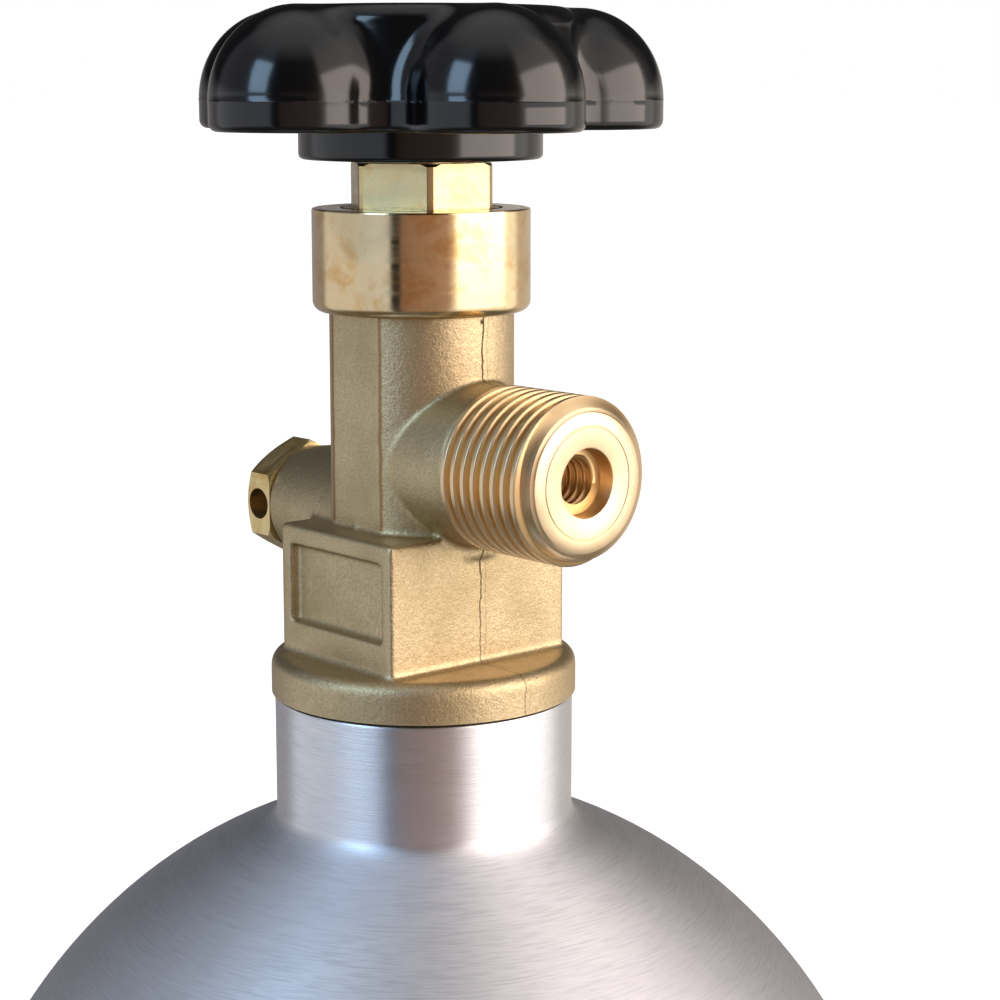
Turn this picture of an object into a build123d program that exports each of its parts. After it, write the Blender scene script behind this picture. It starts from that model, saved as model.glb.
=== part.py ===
"""Aluminium carbon dioxide cylinder with a forged brass handwheel valve.

Millimetres, +Z up. The origin is the centre of the cylinder's base. The valve's outlet
points along -Y, its pressure relief along +Y, and the forging's parting plane is x = 0.
Screw threads are plain cylinders at their major diameter.
"""

from build123d import *
import os
from math import asin, cos, degrees, pi, radians, sin, sqrt, tan

# ---- Cylinder -------------------------------------------------------------------------
SHELL_R = 66.675              # 5.25 in outside diameter
WALL = 6.2
BASE_THICK = 12.0
FOOT_CORNER_R = 16.0          # rounding between the foot ring and the wall
BASE_CORNER_R = 20.0          # the same inside
DISH_R = 38.0                 # inner edge of the foot ring
DISH_DEPTH = 2.5
COLLAR_Z = 375.0              # underside of the valve's collar
DOME_HEIGHT = 72.94           # vertical half axis of the elliptical shoulder
SHOULDER_R = 20.3             # where the shoulder runs into the neck
SHOULDER_Z = COLLAR_Z - 17.9
NECK_R = 19.5
NECK_TOP_Z = COLLAR_Z - 0.3   # the ring seal holds the collar this far off
INLET_R = 14.2875             # 1.125-12 thread, major radius
GLAND_R = 18.2                # counterbore that holds the ring seal
GLAND_FLOOR_Z = COLLAR_Z - 3.3

# ---- Valve body -----------------------------------------------------------------------
COLLAR_R = 19.95
COLLAR_TOP_Z = COLLAR_Z + 5.24
BLOCK_X, BLOCK_Y = 29.18, 22.8
BLOCK_TOP_Z = COLLAR_Z + 22.2
PANEL_Y, PANEL_HEIGHT, PANEL_DEPTH = 18.5, 10.2, 0.9
PANEL_Z = COLLAR_Z + 14.55
COLUMN_R = 11.86
COLUMN_FLATS = 21.7
RING_R = 13.95
RING_Z = COLLAR_Z + 49.6
BODY_TOP_Z = COLLAR_Z + 62.7
SHANK_BOTTOM_Z = COLLAR_Z - 23.5

# outlet, along -Y
OUTLET_Z = COLLAR_Z + 30.97
OUTLET_R = 10.4775            # 0.825-14 thread, major radius
OUTLET_ROOT = 16.0            # where the thread starts
OUTLET_CHAMFER = 29.75
OUTLET_FACE = 31.1
FACE_R = 8.65
OUTLET_BORE_R = 4.235
OUTLET_BORE_DEPTH = 2.2
PLUG_THREAD_R = 3.3
PLUG_THREAD_DEPTH = 11.0
PASSAGE_R = 2.4

# relief port, along +Y
RELIEF_Z = COLLAR_Z + 21.75
RELIEF_END = 23.9
RELIEF_BOSS_R = 7.4
RELIEF_ROOT_R = 9.6
RELIEF_THREAD_R = 5.0
RELIEF_SEAT = 14.5
RELIEF_PASSAGE_R = 2.5

# inner bores on the stem axis
INLET_BORE_R = 5.5
INLET_BORE_TOP = COLLAR_Z + 23.5
SEAT_FLOOR_Z = COLLAR_Z + 26.2
SEAT_RIM_Z = SEAT_FLOOR_Z + 0.8
SEAT_RIM_R = 3.8
ORIFICE_R = 2.6
CHAMBER_R = 7.2
GLAND_SEAT_Z = COLLAR_Z + 50.5
GLAND_THREAD_R = 10.0

# ---- Seat plug and stem ---------------------------------------------------------------
RUNNING_GAP = 0.08            # radial, plug thread in the body
SEAT_GAP = 0.05               # left between the closed insert and the seat rim
PLUG_R = CHAMBER_R - RUNNING_GAP
PLUG_NOSE_R = 5.2
INSERT_R = 4.0
INSERT_STANDOUT = 0.8
INSERT_THICK = 2.6
PLUG_NOSE_Z = SEAT_RIM_Z + SEAT_GAP + INSERT_STANDOUT
PLUG_THREAD_Z = PLUG_NOSE_Z + 6.2
PLUG_TOP_Z = PLUG_THREAD_Z + 8.0
SOCKET_FLOOR_Z = PLUG_TOP_Z - 7.0
TANG = 6.8
TANG_GAP = 0.1
TANG_BOTTOM_Z = SOCKET_FLOOR_Z + 3.4      # leaves room for 3 mm of lift
STEM_R = 5.0
STEM_BORE_R = STEM_R + 0.05
FLANGE_R = 8.3
FLANGE_Z = GLAND_SEAT_Z + 0.3
FLANGE_THICK = 2.5
THRUST_THICK = 1.0
RING_GROOVE_R = 3.4
RING_SECTION = 1.6
LOWER_RING_Z = COLLAR_Z + 58.0
UPPER_RING_Z = COLLAR_Z + 62.5
BACKUP_THICK = 1.0
SHAFT_TOP_Z = COLLAR_Z + 69.6
SQUARE = 7.0
SQUARE_R = 4.7
SQUARE_TOP_Z = COLLAR_Z + 80.7
TIP_R = 3.0
TIP_TOP_Z = COLLAR_Z + 86.9

# ---- Gland nut ------------------------------------------------------------------------
NUT_FLATS = 17.0
NUT_R = 9.5
NUT_TOP_Z = COLLAR_Z + 68.4
NUT_TURN = 58.0               # angle of one corner about +Z
SKIRT_BORE_R = 8.5
GASKET_THICK = 0.6

# ---- Handwheel ------------------------------------------------------------------------
LOBES = 5
LOBE_RING_R = 20.27           # circle of the lobe centres
LOBE_R = 10.89
LOBE_TURN = 40.2              # angle of one lobe about +Z
VALLEY_RING_R = 26.5          # circle of the valley arc centres
WHEEL_Z = COLLAR_Z + 72.5
PARTING_Z = COLLAR_Z + 76.15
WHEEL_TOP_Z = COLLAR_Z + 87.65
CORE_TOP_R = 20.0
CORE_EDGE_R = 2.5
HUB_R = 15.5
HUB_Z = COLLAR_Z + 68.8
POCKET_R = 8.5
POCKET_FLOOR_Z = COLLAR_Z + 81.0
FERRULE_R = 7.5
FERRULE_FLANGE_R = 9.0
WASHER_R = 6.0
WASHER_THICK = 0.9
LOCK_NUT_FLATS = 10.0
LOCK_NUT_HEIGHT = 4.6

# ---- Relief plug ----------------------------------------------------------------------
RELIEF_FLATS = 14.5
RELIEF_HEX_END = 29.5
VENT_Y = 26.4
VENT_R = 2.1
RELIEF_BORE_R = 2.2
RELIEF_GASKET_THICK = 0.8
DISC_THICK = 0.3
RELIEF_RING_THICK = 0.8
RELIEF_DISC_R = 4.9

os.makedirs("parts", exist_ok=True)


def save(part, name):
    """Label one finished piece and write it as its own STEP file."""
    part.label = name
    export_step(part, f"parts/{name}.step")


def oval_arc(centre_z, half_width, half_height, angle):
    """Control points of a cubic along an ellipse, from its widest point up to an angle."""
    reach = 4 / 3 * tan(angle / 4)
    end = (half_width * cos(angle), centre_z + half_height * sin(angle))
    return [
        (half_width, centre_z),
        (half_width, centre_z + reach * half_height),
        (end[0] + reach * half_width * sin(angle), end[1] - reach * half_height * cos(angle)),
        end,
    ]


def outlet_plane(distance):
    """Plane across the outlet axis, facing out along -Y."""
    return Plane(origin=(0, -distance, OUTLET_Z), x_dir=(1, 0, 0), z_dir=(0, -1, 0))


def relief_plane(distance):
    """Plane across the relief axis, facing out along +Y."""
    return Plane(origin=(0, distance, RELIEF_Z), x_dir=(-1, 0, 0), z_dir=(0, 1, 0))


# ---- Cylinder shell -------------------------------------------------------------------
dome_centre_z = SHOULDER_Z - DOME_HEIGHT * sqrt(1 - (SHOULDER_R / SHELL_R) ** 2)
inner_r = SHELL_R - WALL
inner_dome = DOME_HEIGHT - WALL - 1.5      # the wall thickens towards the neck
throat_z = dome_centre_z + inner_dome * sqrt(1 - (INLET_R / inner_r) ** 2)
shoulder_angle = asin((SHOULDER_Z - dome_centre_z) / DOME_HEIGHT)
throat_angle = asin((throat_z - dome_centre_z) / inner_dome)

with BuildPart() as cylinder_shell:
    with BuildSketch(Plane.XZ):
        with BuildLine():
            Polyline(
                (0, BASE_THICK), (0, DISH_DEPTH), (DISH_R - 8, DISH_DEPTH), (DISH_R, 0),
                (SHELL_R - FOOT_CORNER_R, 0),
            )
            CenterArc(
                (SHELL_R - FOOT_CORNER_R, FOOT_CORNER_R), FOOT_CORNER_R,
                start_angle=-90, arc_size=90,
            )
            Line((SHELL_R, FOOT_CORNER_R), (SHELL_R, dome_centre_z))
            Bezier(*oval_arc(dome_centre_z, SHELL_R, DOME_HEIGHT, shoulder_angle))
            Polyline(
                (SHOULDER_R, SHOULDER_Z), (NECK_R + 0.15, SHOULDER_Z + 0.6),
                (NECK_R, SHOULDER_Z + 1.4), (NECK_R, NECK_TOP_Z - 0.4),
                (NECK_R - 0.4, NECK_TOP_Z), (GLAND_R, NECK_TOP_Z), (GLAND_R, GLAND_FLOOR_Z),
                (INLET_R, GLAND_FLOOR_Z), (INLET_R, throat_z),
            )
            Bezier(*oval_arc(dome_centre_z, inner_r, inner_dome, throat_angle))
            Line((inner_r, dome_centre_z), (inner_r, BASE_THICK + BASE_CORNER_R))
            CenterArc(
                (inner_r - BASE_CORNER_R, BASE_THICK + BASE_CORNER_R), BASE_CORNER_R,
                start_angle=-90, arc_size=90,
            )
            Line((inner_r - BASE_CORNER_R, BASE_THICK), (0, BASE_THICK))
        make_face()
    revolve(axis=Axis.Z)
save(cylinder_shell.part, "cylinder_shell")

# ---- Neck ring seal -------------------------------------------------------------------
seal_width, seal_height = 3.7, COLLAR_Z - GLAND_FLOOR_Z
with BuildPart() as neck_o_ring:
    with BuildSketch(Plane.XZ):
        with Locations(((INLET_R + GLAND_R) / 2, (GLAND_FLOOR_Z + COLLAR_Z) / 2)):
            RectangleRounded(seal_width, seal_height, 1.4)
    revolve(axis=Axis.Z)
save(neck_o_ring.part, "neck_o_ring")

# ---- Valve body -----------------------------------------------------------------------
with BuildPart() as valve_body:
    with BuildSketch(Plane.XY.offset(COLLAR_Z)):
        Circle(COLLAR_R)
    extrude(amount=COLLAR_TOP_Z - COLLAR_Z)
    fillet(valve_body.edges().group_by(Axis.Z)[-1], 1.1)
    with BuildSketch(Plane.XY.offset(COLLAR_Z + 2)):
        RectangleRounded(BLOCK_X, BLOCK_Y, 1.2)
    extrude(amount=BLOCK_TOP_Z - COLLAR_Z - 2)
    fillet(valve_body.edges().group_by(Axis.Z)[-1], 0.9)
    with BuildSketch(Plane.XY.offset(BLOCK_TOP_Z - 3)):
        Circle(COLUMN_R)
        Rectangle(COLUMN_FLATS, 4 * COLUMN_R, mode=Mode.INTERSECT)
    extrude(amount=RING_Z - BLOCK_TOP_Z + 4)
    # outlet spigot: forged root, then the turned and threaded end
    with BuildSketch(Plane.YZ):
        with BuildLine():
            Polyline(
                (0, OUTLET_Z), (-OUTLET_FACE, OUTLET_Z), (-OUTLET_FACE, OUTLET_Z + FACE_R),
                (-OUTLET_CHAMFER, OUTLET_Z + OUTLET_R), (-OUTLET_ROOT, OUTLET_Z + OUTLET_R),
                (-OUTLET_ROOT, OUTLET_Z + OUTLET_R - 0.6), (-9.0, OUTLET_Z + OUTLET_R - 0.1),
                (0, OUTLET_Z + OUTLET_R - 0.1), close=True,
            )
        make_face()
    revolve(axis=Axis((0, 0, OUTLET_Z), (0, -1, 0)))
    # relief boss, drafted
    with BuildSketch(relief_plane(0)):
        Circle(RELIEF_ROOT_R + 1.5)
    with BuildSketch(relief_plane(RELIEF_END)):
        Circle(RELIEF_BOSS_R)
    loft()
    # turned ring at the top
    with BuildSketch(Plane.XZ):
        with BuildLine():
            Polyline(
                (0, RING_Z), (RING_R - 1.3, RING_Z), (RING_R - 0.35, RING_Z + 0.45),
                (RING_R, RING_Z + 1.4), (RING_R, BODY_TOP_Z - 0.25),
                (RING_R - 0.25, BODY_TOP_Z), (0, BODY_TOP_Z), close=True,
            )
        make_face()
    revolve(axis=Axis.Z)
    # inlet shank
    with BuildSketch(Plane.XZ):
        with BuildLine():
            Polyline(
                (0, SHANK_BOTTOM_Z), (INLET_R - 1.5, SHANK_BOTTOM_Z),
                (INLET_R, SHANK_BOTTOM_Z + 1.5), (INLET_R, COLLAR_Z), (0, COLLAR_Z),
                close=True,
            )
        make_face()
    revolve(axis=Axis.Z)
    # recessed panels on the two sides of the block
    for side in (1, -1):
        panel_plane = Plane(origin=(side * BLOCK_X / 2, 0, PANEL_Z), x_dir=(0, 1, 0), z_dir=(side, 0, 0))
        with BuildSketch(panel_plane):
            RectangleRounded(PANEL_Y, PANEL_HEIGHT, 0.5)
        extrude(amount=-PANEL_DEPTH, mode=Mode.SUBTRACT)
    # stem axis bores, with the raised seat rim left standing
    with BuildSketch(Plane.XZ):
        with BuildLine():
            Polyline(
                (0, SHANK_BOTTOM_Z), (INLET_BORE_R, SHANK_BOTTOM_Z),
                (INLET_BORE_R, INLET_BORE_TOP), (ORIFICE_R, INLET_BORE_TOP),
                (ORIFICE_R, SEAT_RIM_Z), (SEAT_RIM_R - 0.4, SEAT_RIM_Z),
                (SEAT_RIM_R, SEAT_FLOOR_Z), (CHAMBER_R, SEAT_FLOOR_Z),
                (CHAMBER_R, GLAND_SEAT_Z), (GLAND_THREAD_R, GLAND_SEAT_Z),
                (GLAND_THREAD_R, BODY_TOP_Z), (0, BODY_TOP_Z), close=True,
            )
        make_face()
    revolve(axis=Axis.Z, mode=Mode.SUBTRACT)
    # outlet bores
    with BuildSketch(outlet_plane(OUTLET_FACE)):
        Circle(OUTLET_BORE_R)
    extrude(amount=-OUTLET_BORE_DEPTH, mode=Mode.SUBTRACT)
    with BuildSketch(outlet_plane(OUTLET_FACE)):
        Circle(PLUG_THREAD_R)
    extrude(amount=-PLUG_THREAD_DEPTH, mode=Mode.SUBTRACT)
    with BuildSketch(outlet_plane(OUTLET_FACE)):
        Circle(PASSAGE_R)
    extrude(amount=-(OUTLET_FACE - CHAMBER_R + 2), mode=Mode.SUBTRACT)
    # relief bores
    with BuildSketch(relief_plane(RELIEF_END)):
        Circle(RELIEF_THREAD_R)
    extrude(amount=-(RELIEF_END - RELIEF_SEAT), mode=Mode.SUBTRACT)
    with BuildSketch(relief_plane(RELIEF_SEAT)):
        Circle(RELIEF_PASSAGE_R)
    extrude(amount=-(RELIEF_SEAT - INLET_BORE_R + 1), mode=Mode.SUBTRACT)
save(valve_body.part, "valve_body")

# ---- Pressure relief ------------------------------------------------------------------
disc_start = RELIEF_SEAT + RELIEF_GASKET_THICK
ring_start = disc_start + DISC_THICK
shank_start = ring_start + RELIEF_RING_THICK

with BuildPart() as relief_gasket:
    with BuildSketch(relief_plane(RELIEF_SEAT)):
        Circle(RELIEF_DISC_R)
        Circle(RELIEF_PASSAGE_R, mode=Mode.SUBTRACT)
    extrude(amount=RELIEF_GASKET_THICK)
save(relief_gasket.part, "relief_gasket")

with BuildPart() as rupture_disc:
    with BuildSketch(relief_plane(disc_start)):
        Circle(RELIEF_DISC_R)
    extrude(amount=DISC_THICK)
save(rupture_disc.part, "rupture_disc")

with BuildPart() as relief_slip_ring:
    with BuildSketch(relief_plane(ring_start)):
        Circle(RELIEF_DISC_R)
        Circle(RELIEF_BORE_R, mode=Mode.SUBTRACT)
    extrude(amount=RELIEF_RING_THICK)
save(relief_slip_ring.part, "relief_slip_ring")

with BuildPart() as relief_plug:
    with BuildSketch(relief_plane(shank_start)):
        Circle(RELIEF_THREAD_R)
    extrude(amount=RELIEF_END - shank_start)
    with BuildSketch(relief_plane(RELIEF_END)):
        RegularPolygon(RELIEF_FLATS / 2, 6, major_radius=False, rotation=30)
    extrude(amount=RELIEF_HEX_END - RELIEF_END)
    # turned chamfer that rounds the corners off at the outer end
    corner_r = RELIEF_FLATS / sqrt(3)
    with BuildSketch(Plane.YZ):
        with BuildLine():
            Polyline(
                (shank_start, RELIEF_Z), (shank_start, RELIEF_Z + corner_r + 0.05),
                (RELIEF_HEX_END - 1.5, RELIEF_Z + corner_r + 0.05),
                (RELIEF_HEX_END, RELIEF_Z + RELIEF_FLATS / 2 - 0.9), (RELIEF_HEX_END, RELIEF_Z),
                close=True,
            )
        make_face()
    revolve(axis=Axis((0, 0, RELIEF_Z), (0, 1, 0)), mode=Mode.INTERSECT)
    with BuildSketch(relief_plane(shank_start)):
        Circle(RELIEF_BORE_R)
    extrude(amount=VENT_Y - shank_start, mode=Mode.SUBTRACT)
    with BuildSketch(Plane(origin=(0, VENT_Y, RELIEF_Z), x_dir=(0, 1, 0), z_dir=(1, 0, 0))):
        Circle(VENT_R)
    extrude(amount=RELIEF_FLATS, both=True, mode=Mode.SUBTRACT)
save(relief_plug.part, "relief_plug")

# ---- Seat plug ------------------------------------------------------------------------
with BuildPart() as seat_plug:
    with BuildSketch(Plane.XZ):
        with BuildLine():
            Polyline(
                (0, PLUG_NOSE_Z), (PLUG_NOSE_R - 0.5, PLUG_NOSE_Z),
                (PLUG_NOSE_R, PLUG_NOSE_Z + 0.5), (PLUG_NOSE_R, PLUG_THREAD_Z - 0.8),
                (PLUG_R - 0.8, PLUG_THREAD_Z), (PLUG_R, PLUG_THREAD_Z + 0.8),
                (PLUG_R, PLUG_TOP_Z - 0.6), (PLUG_R - 0.6, PLUG_TOP_Z), (0, PLUG_TOP_Z),
                close=True,
            )
        make_face()
    revolve(axis=Axis.Z)
    with BuildSketch(Plane.XY.offset(PLUG_NOSE_Z)):
        Circle(INSERT_R)
    extrude(amount=INSERT_THICK - INSERT_STANDOUT, mode=Mode.SUBTRACT)
    with BuildSketch(Plane.XY.offset(SOCKET_FLOOR_Z)):
        Rectangle(TANG + 2 * TANG_GAP, TANG + 2 * TANG_GAP)
    extrude(amount=PLUG_TOP_Z - SOCKET_FLOOR_Z, mode=Mode.SUBTRACT)
save(seat_plug.part, "seat_plug")

with BuildPart() as seat_insert:
    with BuildSketch(Plane.XY.offset(PLUG_NOSE_Z - INSERT_STANDOUT)):
        Circle(INSERT_R)
    extrude(amount=INSERT_THICK)
    chamfer(seat_insert.edges().group_by(Axis.Z)[0], 0.3)
save(seat_insert.part, "seat_insert")

# ---- Stem and what rides on it --------------------------------------------------------
flange_top_z = FLANGE_Z + FLANGE_THICK
counterbore_top_z = flange_top_z + THRUST_THICK
lower_groove = RING_SECTION + 0.6
upper_groove = RING_SECTION + BACKUP_THICK + 0.2

with BuildPart() as upper_stem:
    with BuildSketch(Plane.XY.offset(TANG_BOTTOM_Z)):
        Rectangle(TANG, TANG)
    extrude(amount=FLANGE_Z - TANG_BOTTOM_Z)
    chamfer(upper_stem.edges().filter_by(Axis.Z), 0.4)
    with BuildSketch(Plane.XZ):
        with BuildLine():
            Polyline(
                (0, FLANGE_Z), (FLANGE_R, FLANGE_Z), (FLANGE_R, flange_top_z),
                (STEM_R, flange_top_z), (STEM_R, LOWER_RING_Z),
                (RING_GROOVE_R, LOWER_RING_Z), (RING_GROOVE_R, LOWER_RING_Z + lower_groove),
                (STEM_R, LOWER_RING_Z + lower_groove), (STEM_R, UPPER_RING_Z),
                (RING_GROOVE_R, UPPER_RING_Z), (RING_GROOVE_R, UPPER_RING_Z + upper_groove),
                (STEM_R, UPPER_RING_Z + upper_groove), (STEM_R, SHAFT_TOP_Z - 0.3),
                (STEM_R - 0.3, SHAFT_TOP_Z), (0, SHAFT_TOP_Z), close=True,
            )
        make_face()
    revolve(axis=Axis.Z)
    with BuildSketch(Plane.XY.offset(SHAFT_TOP_Z)):
        Circle(SQUARE_R)
        Rectangle(SQUARE, SQUARE, mode=Mode.INTERSECT)
    extrude(amount=SQUARE_TOP_Z - SHAFT_TOP_Z)
    with BuildSketch(Plane.XY.offset(SQUARE_TOP_Z)):
        Circle(TIP_R)
    extrude(amount=TIP_TOP_Z - SQUARE_TOP_Z)
    chamfer(upper_stem.edges().group_by(Axis.Z)[-1], 0.5)
save(upper_stem.part, "upper_stem")

with BuildPart() as thrust_washer:
    with BuildSketch(Plane.XY.offset(flange_top_z)):
        Circle(FLANGE_R)
        Circle(STEM_R, mode=Mode.SUBTRACT)
    extrude(amount=THRUST_THICK)
save(thrust_washer.part, "thrust_washer")

ring_centre_r = RING_GROOVE_R + RING_SECTION / 2
for name, groove_z in (("stem_o_ring_lower", LOWER_RING_Z), ("stem_o_ring_upper", UPPER_RING_Z)):
    with BuildPart() as stem_ring:
        with BuildSketch(Plane.XZ):
            with Locations((ring_centre_r, groove_z + 0.05 + RING_SECTION / 2)):
                Circle(RING_SECTION / 2)
        revolve(axis=Axis.Z)
    save(stem_ring.part, name)

with BuildPart() as stem_backup_ring:
    with BuildSketch(Plane.XY.offset(UPPER_RING_Z + upper_groove - BACKUP_THICK)):
        Circle(STEM_R)
        Circle(RING_GROOVE_R, mode=Mode.SUBTRACT)
    extrude(amount=BACKUP_THICK)
save(stem_backup_ring.part, "stem_backup_ring")

# ---- Gland nut and its gasket ---------------------------------------------------------
skirt_bottom_z = GLAND_SEAT_Z + GASKET_THICK

with BuildPart() as gland_gasket:
    with BuildSketch(Plane.XY.offset(GLAND_SEAT_Z)):
        Circle(GLAND_THREAD_R - 0.1)
        Circle(SKIRT_BORE_R, mode=Mode.SUBTRACT)
    extrude(amount=GASKET_THICK)
save(gland_gasket.part, "gland_gasket")

with BuildPart() as gland_nut:
    with BuildSketch(Plane.XY.offset(BODY_TOP_Z)):
        Circle(NUT_R)
        RegularPolygon(NUT_FLATS / 2, 6, major_radius=False, rotation=NUT_TURN, mode=Mode.INTERSECT)
    extrude(amount=NUT_TOP_Z - BODY_TOP_Z)
    with BuildSketch(Plane.XY.offset(skirt_bottom_z)):
        Circle(GLAND_THREAD_R)
    extrude(amount=BODY_TOP_Z - skirt_bottom_z)
    with BuildSketch(Plane.XZ):
        with BuildLine():
            Polyline(
                (0, skirt_bottom_z), (SKIRT_BORE_R, skirt_bottom_z),
                (SKIRT_BORE_R, counterbore_top_z), (STEM_BORE_R, counterbore_top_z),
                (STEM_BORE_R, NUT_TOP_Z - 0.4), (STEM_BORE_R + 0.4, NUT_TOP_Z),
                (0, NUT_TOP_Z), close=True,
            )
        make_face()
    revolve(axis=Axis.Z, mode=Mode.SUBTRACT)
save(gland_nut.part, "gland_nut")

# ---- Handwheel ------------------------------------------------------------------------
half_pitch = pi / LOBES
lobe_to_valley = sqrt(
    LOBE_RING_R**2 + VALLEY_RING_R**2 - 2 * LOBE_RING_R * VALLEY_RING_R * cos(half_pitch)
)
valley_r = lobe_to_valley - LOBE_R
valley_floor_r = VALLEY_RING_R - valley_r


def around(radius, angle):
    """Point at a radius and an angle in radians about the stem axis."""
    return Vector(radius * cos(angle), radius * sin(angle), 0)


first_lobe = around(LOBE_RING_R, radians(LOBE_TURN))
first_lobe_plane = Plane(origin=(first_lobe.X, first_lobe.Y, 0), x_dir=(1, 0, 0), z_dir=(0, -1, 0))
with BuildPart() as lobe_dome:
    with BuildSketch(first_lobe_plane):
        with BuildLine():
            Bezier(*oval_arc(PARTING_Z, LOBE_R, WHEEL_TOP_Z - PARTING_Z, pi / 2))
            Polyline((0, WHEEL_TOP_Z), (0, PARTING_Z), (LOBE_R, PARTING_Z))
        make_face()
    revolve(axis=Axis((first_lobe.X, first_lobe.Y, 0), (0, 0, 1)))

with BuildPart() as handwheel:
    # star outline up to the moulding's parting line
    with BuildSketch(Plane.XY.offset(WHEEL_Z)):
        with BuildLine():
            for index in range(LOBES):
                lobe_angle = radians(LOBE_TURN) + 2 * half_pitch * index
                lobe = around(LOBE_RING_R, lobe_angle)
                next_lobe = around(LOBE_RING_R, lobe_angle + 2 * half_pitch)
                valley_before = around(VALLEY_RING_R, lobe_angle - half_pitch)
                valley = around(VALLEY_RING_R, lobe_angle + half_pitch)
                share = LOBE_R / lobe_to_valley
                start = lobe + (valley_before - lobe) * share
                end = lobe + (valley - lobe) * share
                next_start = next_lobe + (valley - next_lobe) * share
                ThreePointArc(start, around(LOBE_RING_R + LOBE_R, lobe_angle), end)
                ThreePointArc(end, around(valley_floor_r, lobe_angle + half_pitch), next_start)
        make_face()
    extrude(amount=PARTING_Z - WHEEL_Z)
    chamfer(handwheel.edges().group_by(Axis.Z)[0], 0.8)
    # core between the lobes, drafted, with its top edge rounded
    with BuildSketch(Plane.XZ):
        with BuildLine():
            Polyline(
                (0, WHEEL_TOP_Z), (0, WHEEL_Z + 1), (valley_floor_r - 0.3, WHEEL_Z + 1),
                (valley_floor_r - 0.3, PARTING_Z), (CORE_TOP_R, WHEEL_TOP_Z - CORE_EDGE_R),
            )
            CenterArc(
                (CORE_TOP_R - CORE_EDGE_R, WHEEL_TOP_Z - CORE_EDGE_R), CORE_EDGE_R,
                start_angle=0, arc_size=90,
            )
            Line((CORE_TOP_R - CORE_EDGE_R, WHEEL_TOP_Z), (0, WHEEL_TOP_Z))
        make_face()
    revolve(axis=Axis.Z)
    for index in range(LOBES):
        add(lobe_dome.part.rotate(Axis.Z, degrees(2 * half_pitch * index)))
    # hub under the wheel
    with BuildSketch(Plane.XY.offset(HUB_Z)):
        Circle(HUB_R)
    extrude(amount=WHEEL_Z - HUB_Z + 1)
    fillet(handwheel.edges().group_by(Axis.Z)[0], 0.7)
    # pocket for the lock nut, and the seat of the moulded-in ferrule
    with BuildSketch(Plane.XZ):
        with BuildLine():
            Polyline(
                (0, HUB_Z), (FERRULE_R, HUB_Z), (FERRULE_R, POCKET_FLOOR_Z - 2.0),
                (FERRULE_FLANGE_R, POCKET_FLOOR_Z - 2.0), (FERRULE_FLANGE_R, POCKET_FLOOR_Z - 0.8),
                (POCKET_R, POCKET_FLOOR_Z - 0.8), (POCKET_R, WHEEL_TOP_Z), (0, WHEEL_TOP_Z),
                close=True,
            )
        make_face()
    revolve(axis=Axis.Z, mode=Mode.SUBTRACT)
save(handwheel.part, "handwheel")

with BuildPart() as wheel_ferrule:
    with BuildSketch(Plane.XZ):
        with BuildLine():
            Polyline(
                (0, HUB_Z), (FERRULE_R, HUB_Z), (FERRULE_R, POCKET_FLOOR_Z - 2.0),
                (FERRULE_FLANGE_R, POCKET_FLOOR_Z - 2.0), (FERRULE_FLANGE_R, POCKET_FLOOR_Z - 0.8),
                (POCKET_R, POCKET_FLOOR_Z - 0.8), (POCKET_R - 0.3, POCKET_FLOOR_Z),
                (0, POCKET_FLOOR_Z), close=True,
            )
        make_face()
    revolve(axis=Axis.Z)
    with BuildSketch(Plane.XY.offset(HUB_Z)):
        Circle(STEM_R + TANG_GAP)
    extrude(amount=SHAFT_TOP_Z - HUB_Z, mode=Mode.SUBTRACT)
    with BuildSketch(Plane.XY.offset(SHAFT_TOP_Z)):
        Circle(SQUARE_R + 0.05)
        Rectangle(SQUARE + 0.1, SQUARE + 0.1, mode=Mode.INTERSECT)
    extrude(amount=POCKET_FLOOR_Z - SHAFT_TOP_Z, mode=Mode.SUBTRACT)
save(wheel_ferrule.part, "wheel_ferrule")

with BuildPart() as wheel_washer:
    with BuildSketch(Plane.XY.offset(POCKET_FLOOR_Z)):
        Circle(WASHER_R)
        Circle(TIP_R + 0.15, mode=Mode.SUBTRACT)
    extrude(amount=WASHER_THICK)
save(wheel_washer.part, "wheel_washer")

lock_nut_z = POCKET_FLOOR_Z + WASHER_THICK
lock_nut_corner_r = LOCK_NUT_FLATS / sqrt(3)
with BuildPart() as wheel_lock_nut:
    with BuildSketch(Plane.XY.offset(lock_nut_z)):
        RegularPolygon(LOCK_NUT_FLATS / 2, 6, major_radius=False)
        Circle(TIP_R, mode=Mode.SUBTRACT)
    extrude(amount=LOCK_NUT_HEIGHT)
    # corners turned off at both ends
    with BuildSketch(Plane.XZ):
        with BuildLine():
            Polyline(
                (0, lock_nut_z), (lock_nut_corner_r - 0.8, lock_nut_z),
                (lock_nut_corner_r + 0.05, lock_nut_z + 0.5),
                (lock_nut_corner_r + 0.05, lock_nut_z + LOCK_NUT_HEIGHT - 0.5),
                (lock_nut_corner_r - 0.8, lock_nut_z + LOCK_NUT_HEIGHT),
                (0, lock_nut_z + LOCK_NUT_HEIGHT), close=True,
            )
        make_face()
    revolve(axis=Axis.Z, mode=Mode.INTERSECT)
save(wheel_lock_nut.part, "wheel_lock_nut")
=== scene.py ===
"""Gas cylinder with a forged brass handwheel valve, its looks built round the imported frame.

Metres in Blender, millimetres in the size fields. +Z is up and the origin is the centre of the
cylinder's base. The outlet points along -Y and the pressure relief along +Y.
"""

import logging
from dataclasses import dataclass, field
from enum import Enum
from math import acos, atan2, cos, degrees, hypot, pi, radians, sin, sqrt, tan
from typing import Callable, Optional, Sequence, Union

import bpy
from mathutils import Matrix, Vector

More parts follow.
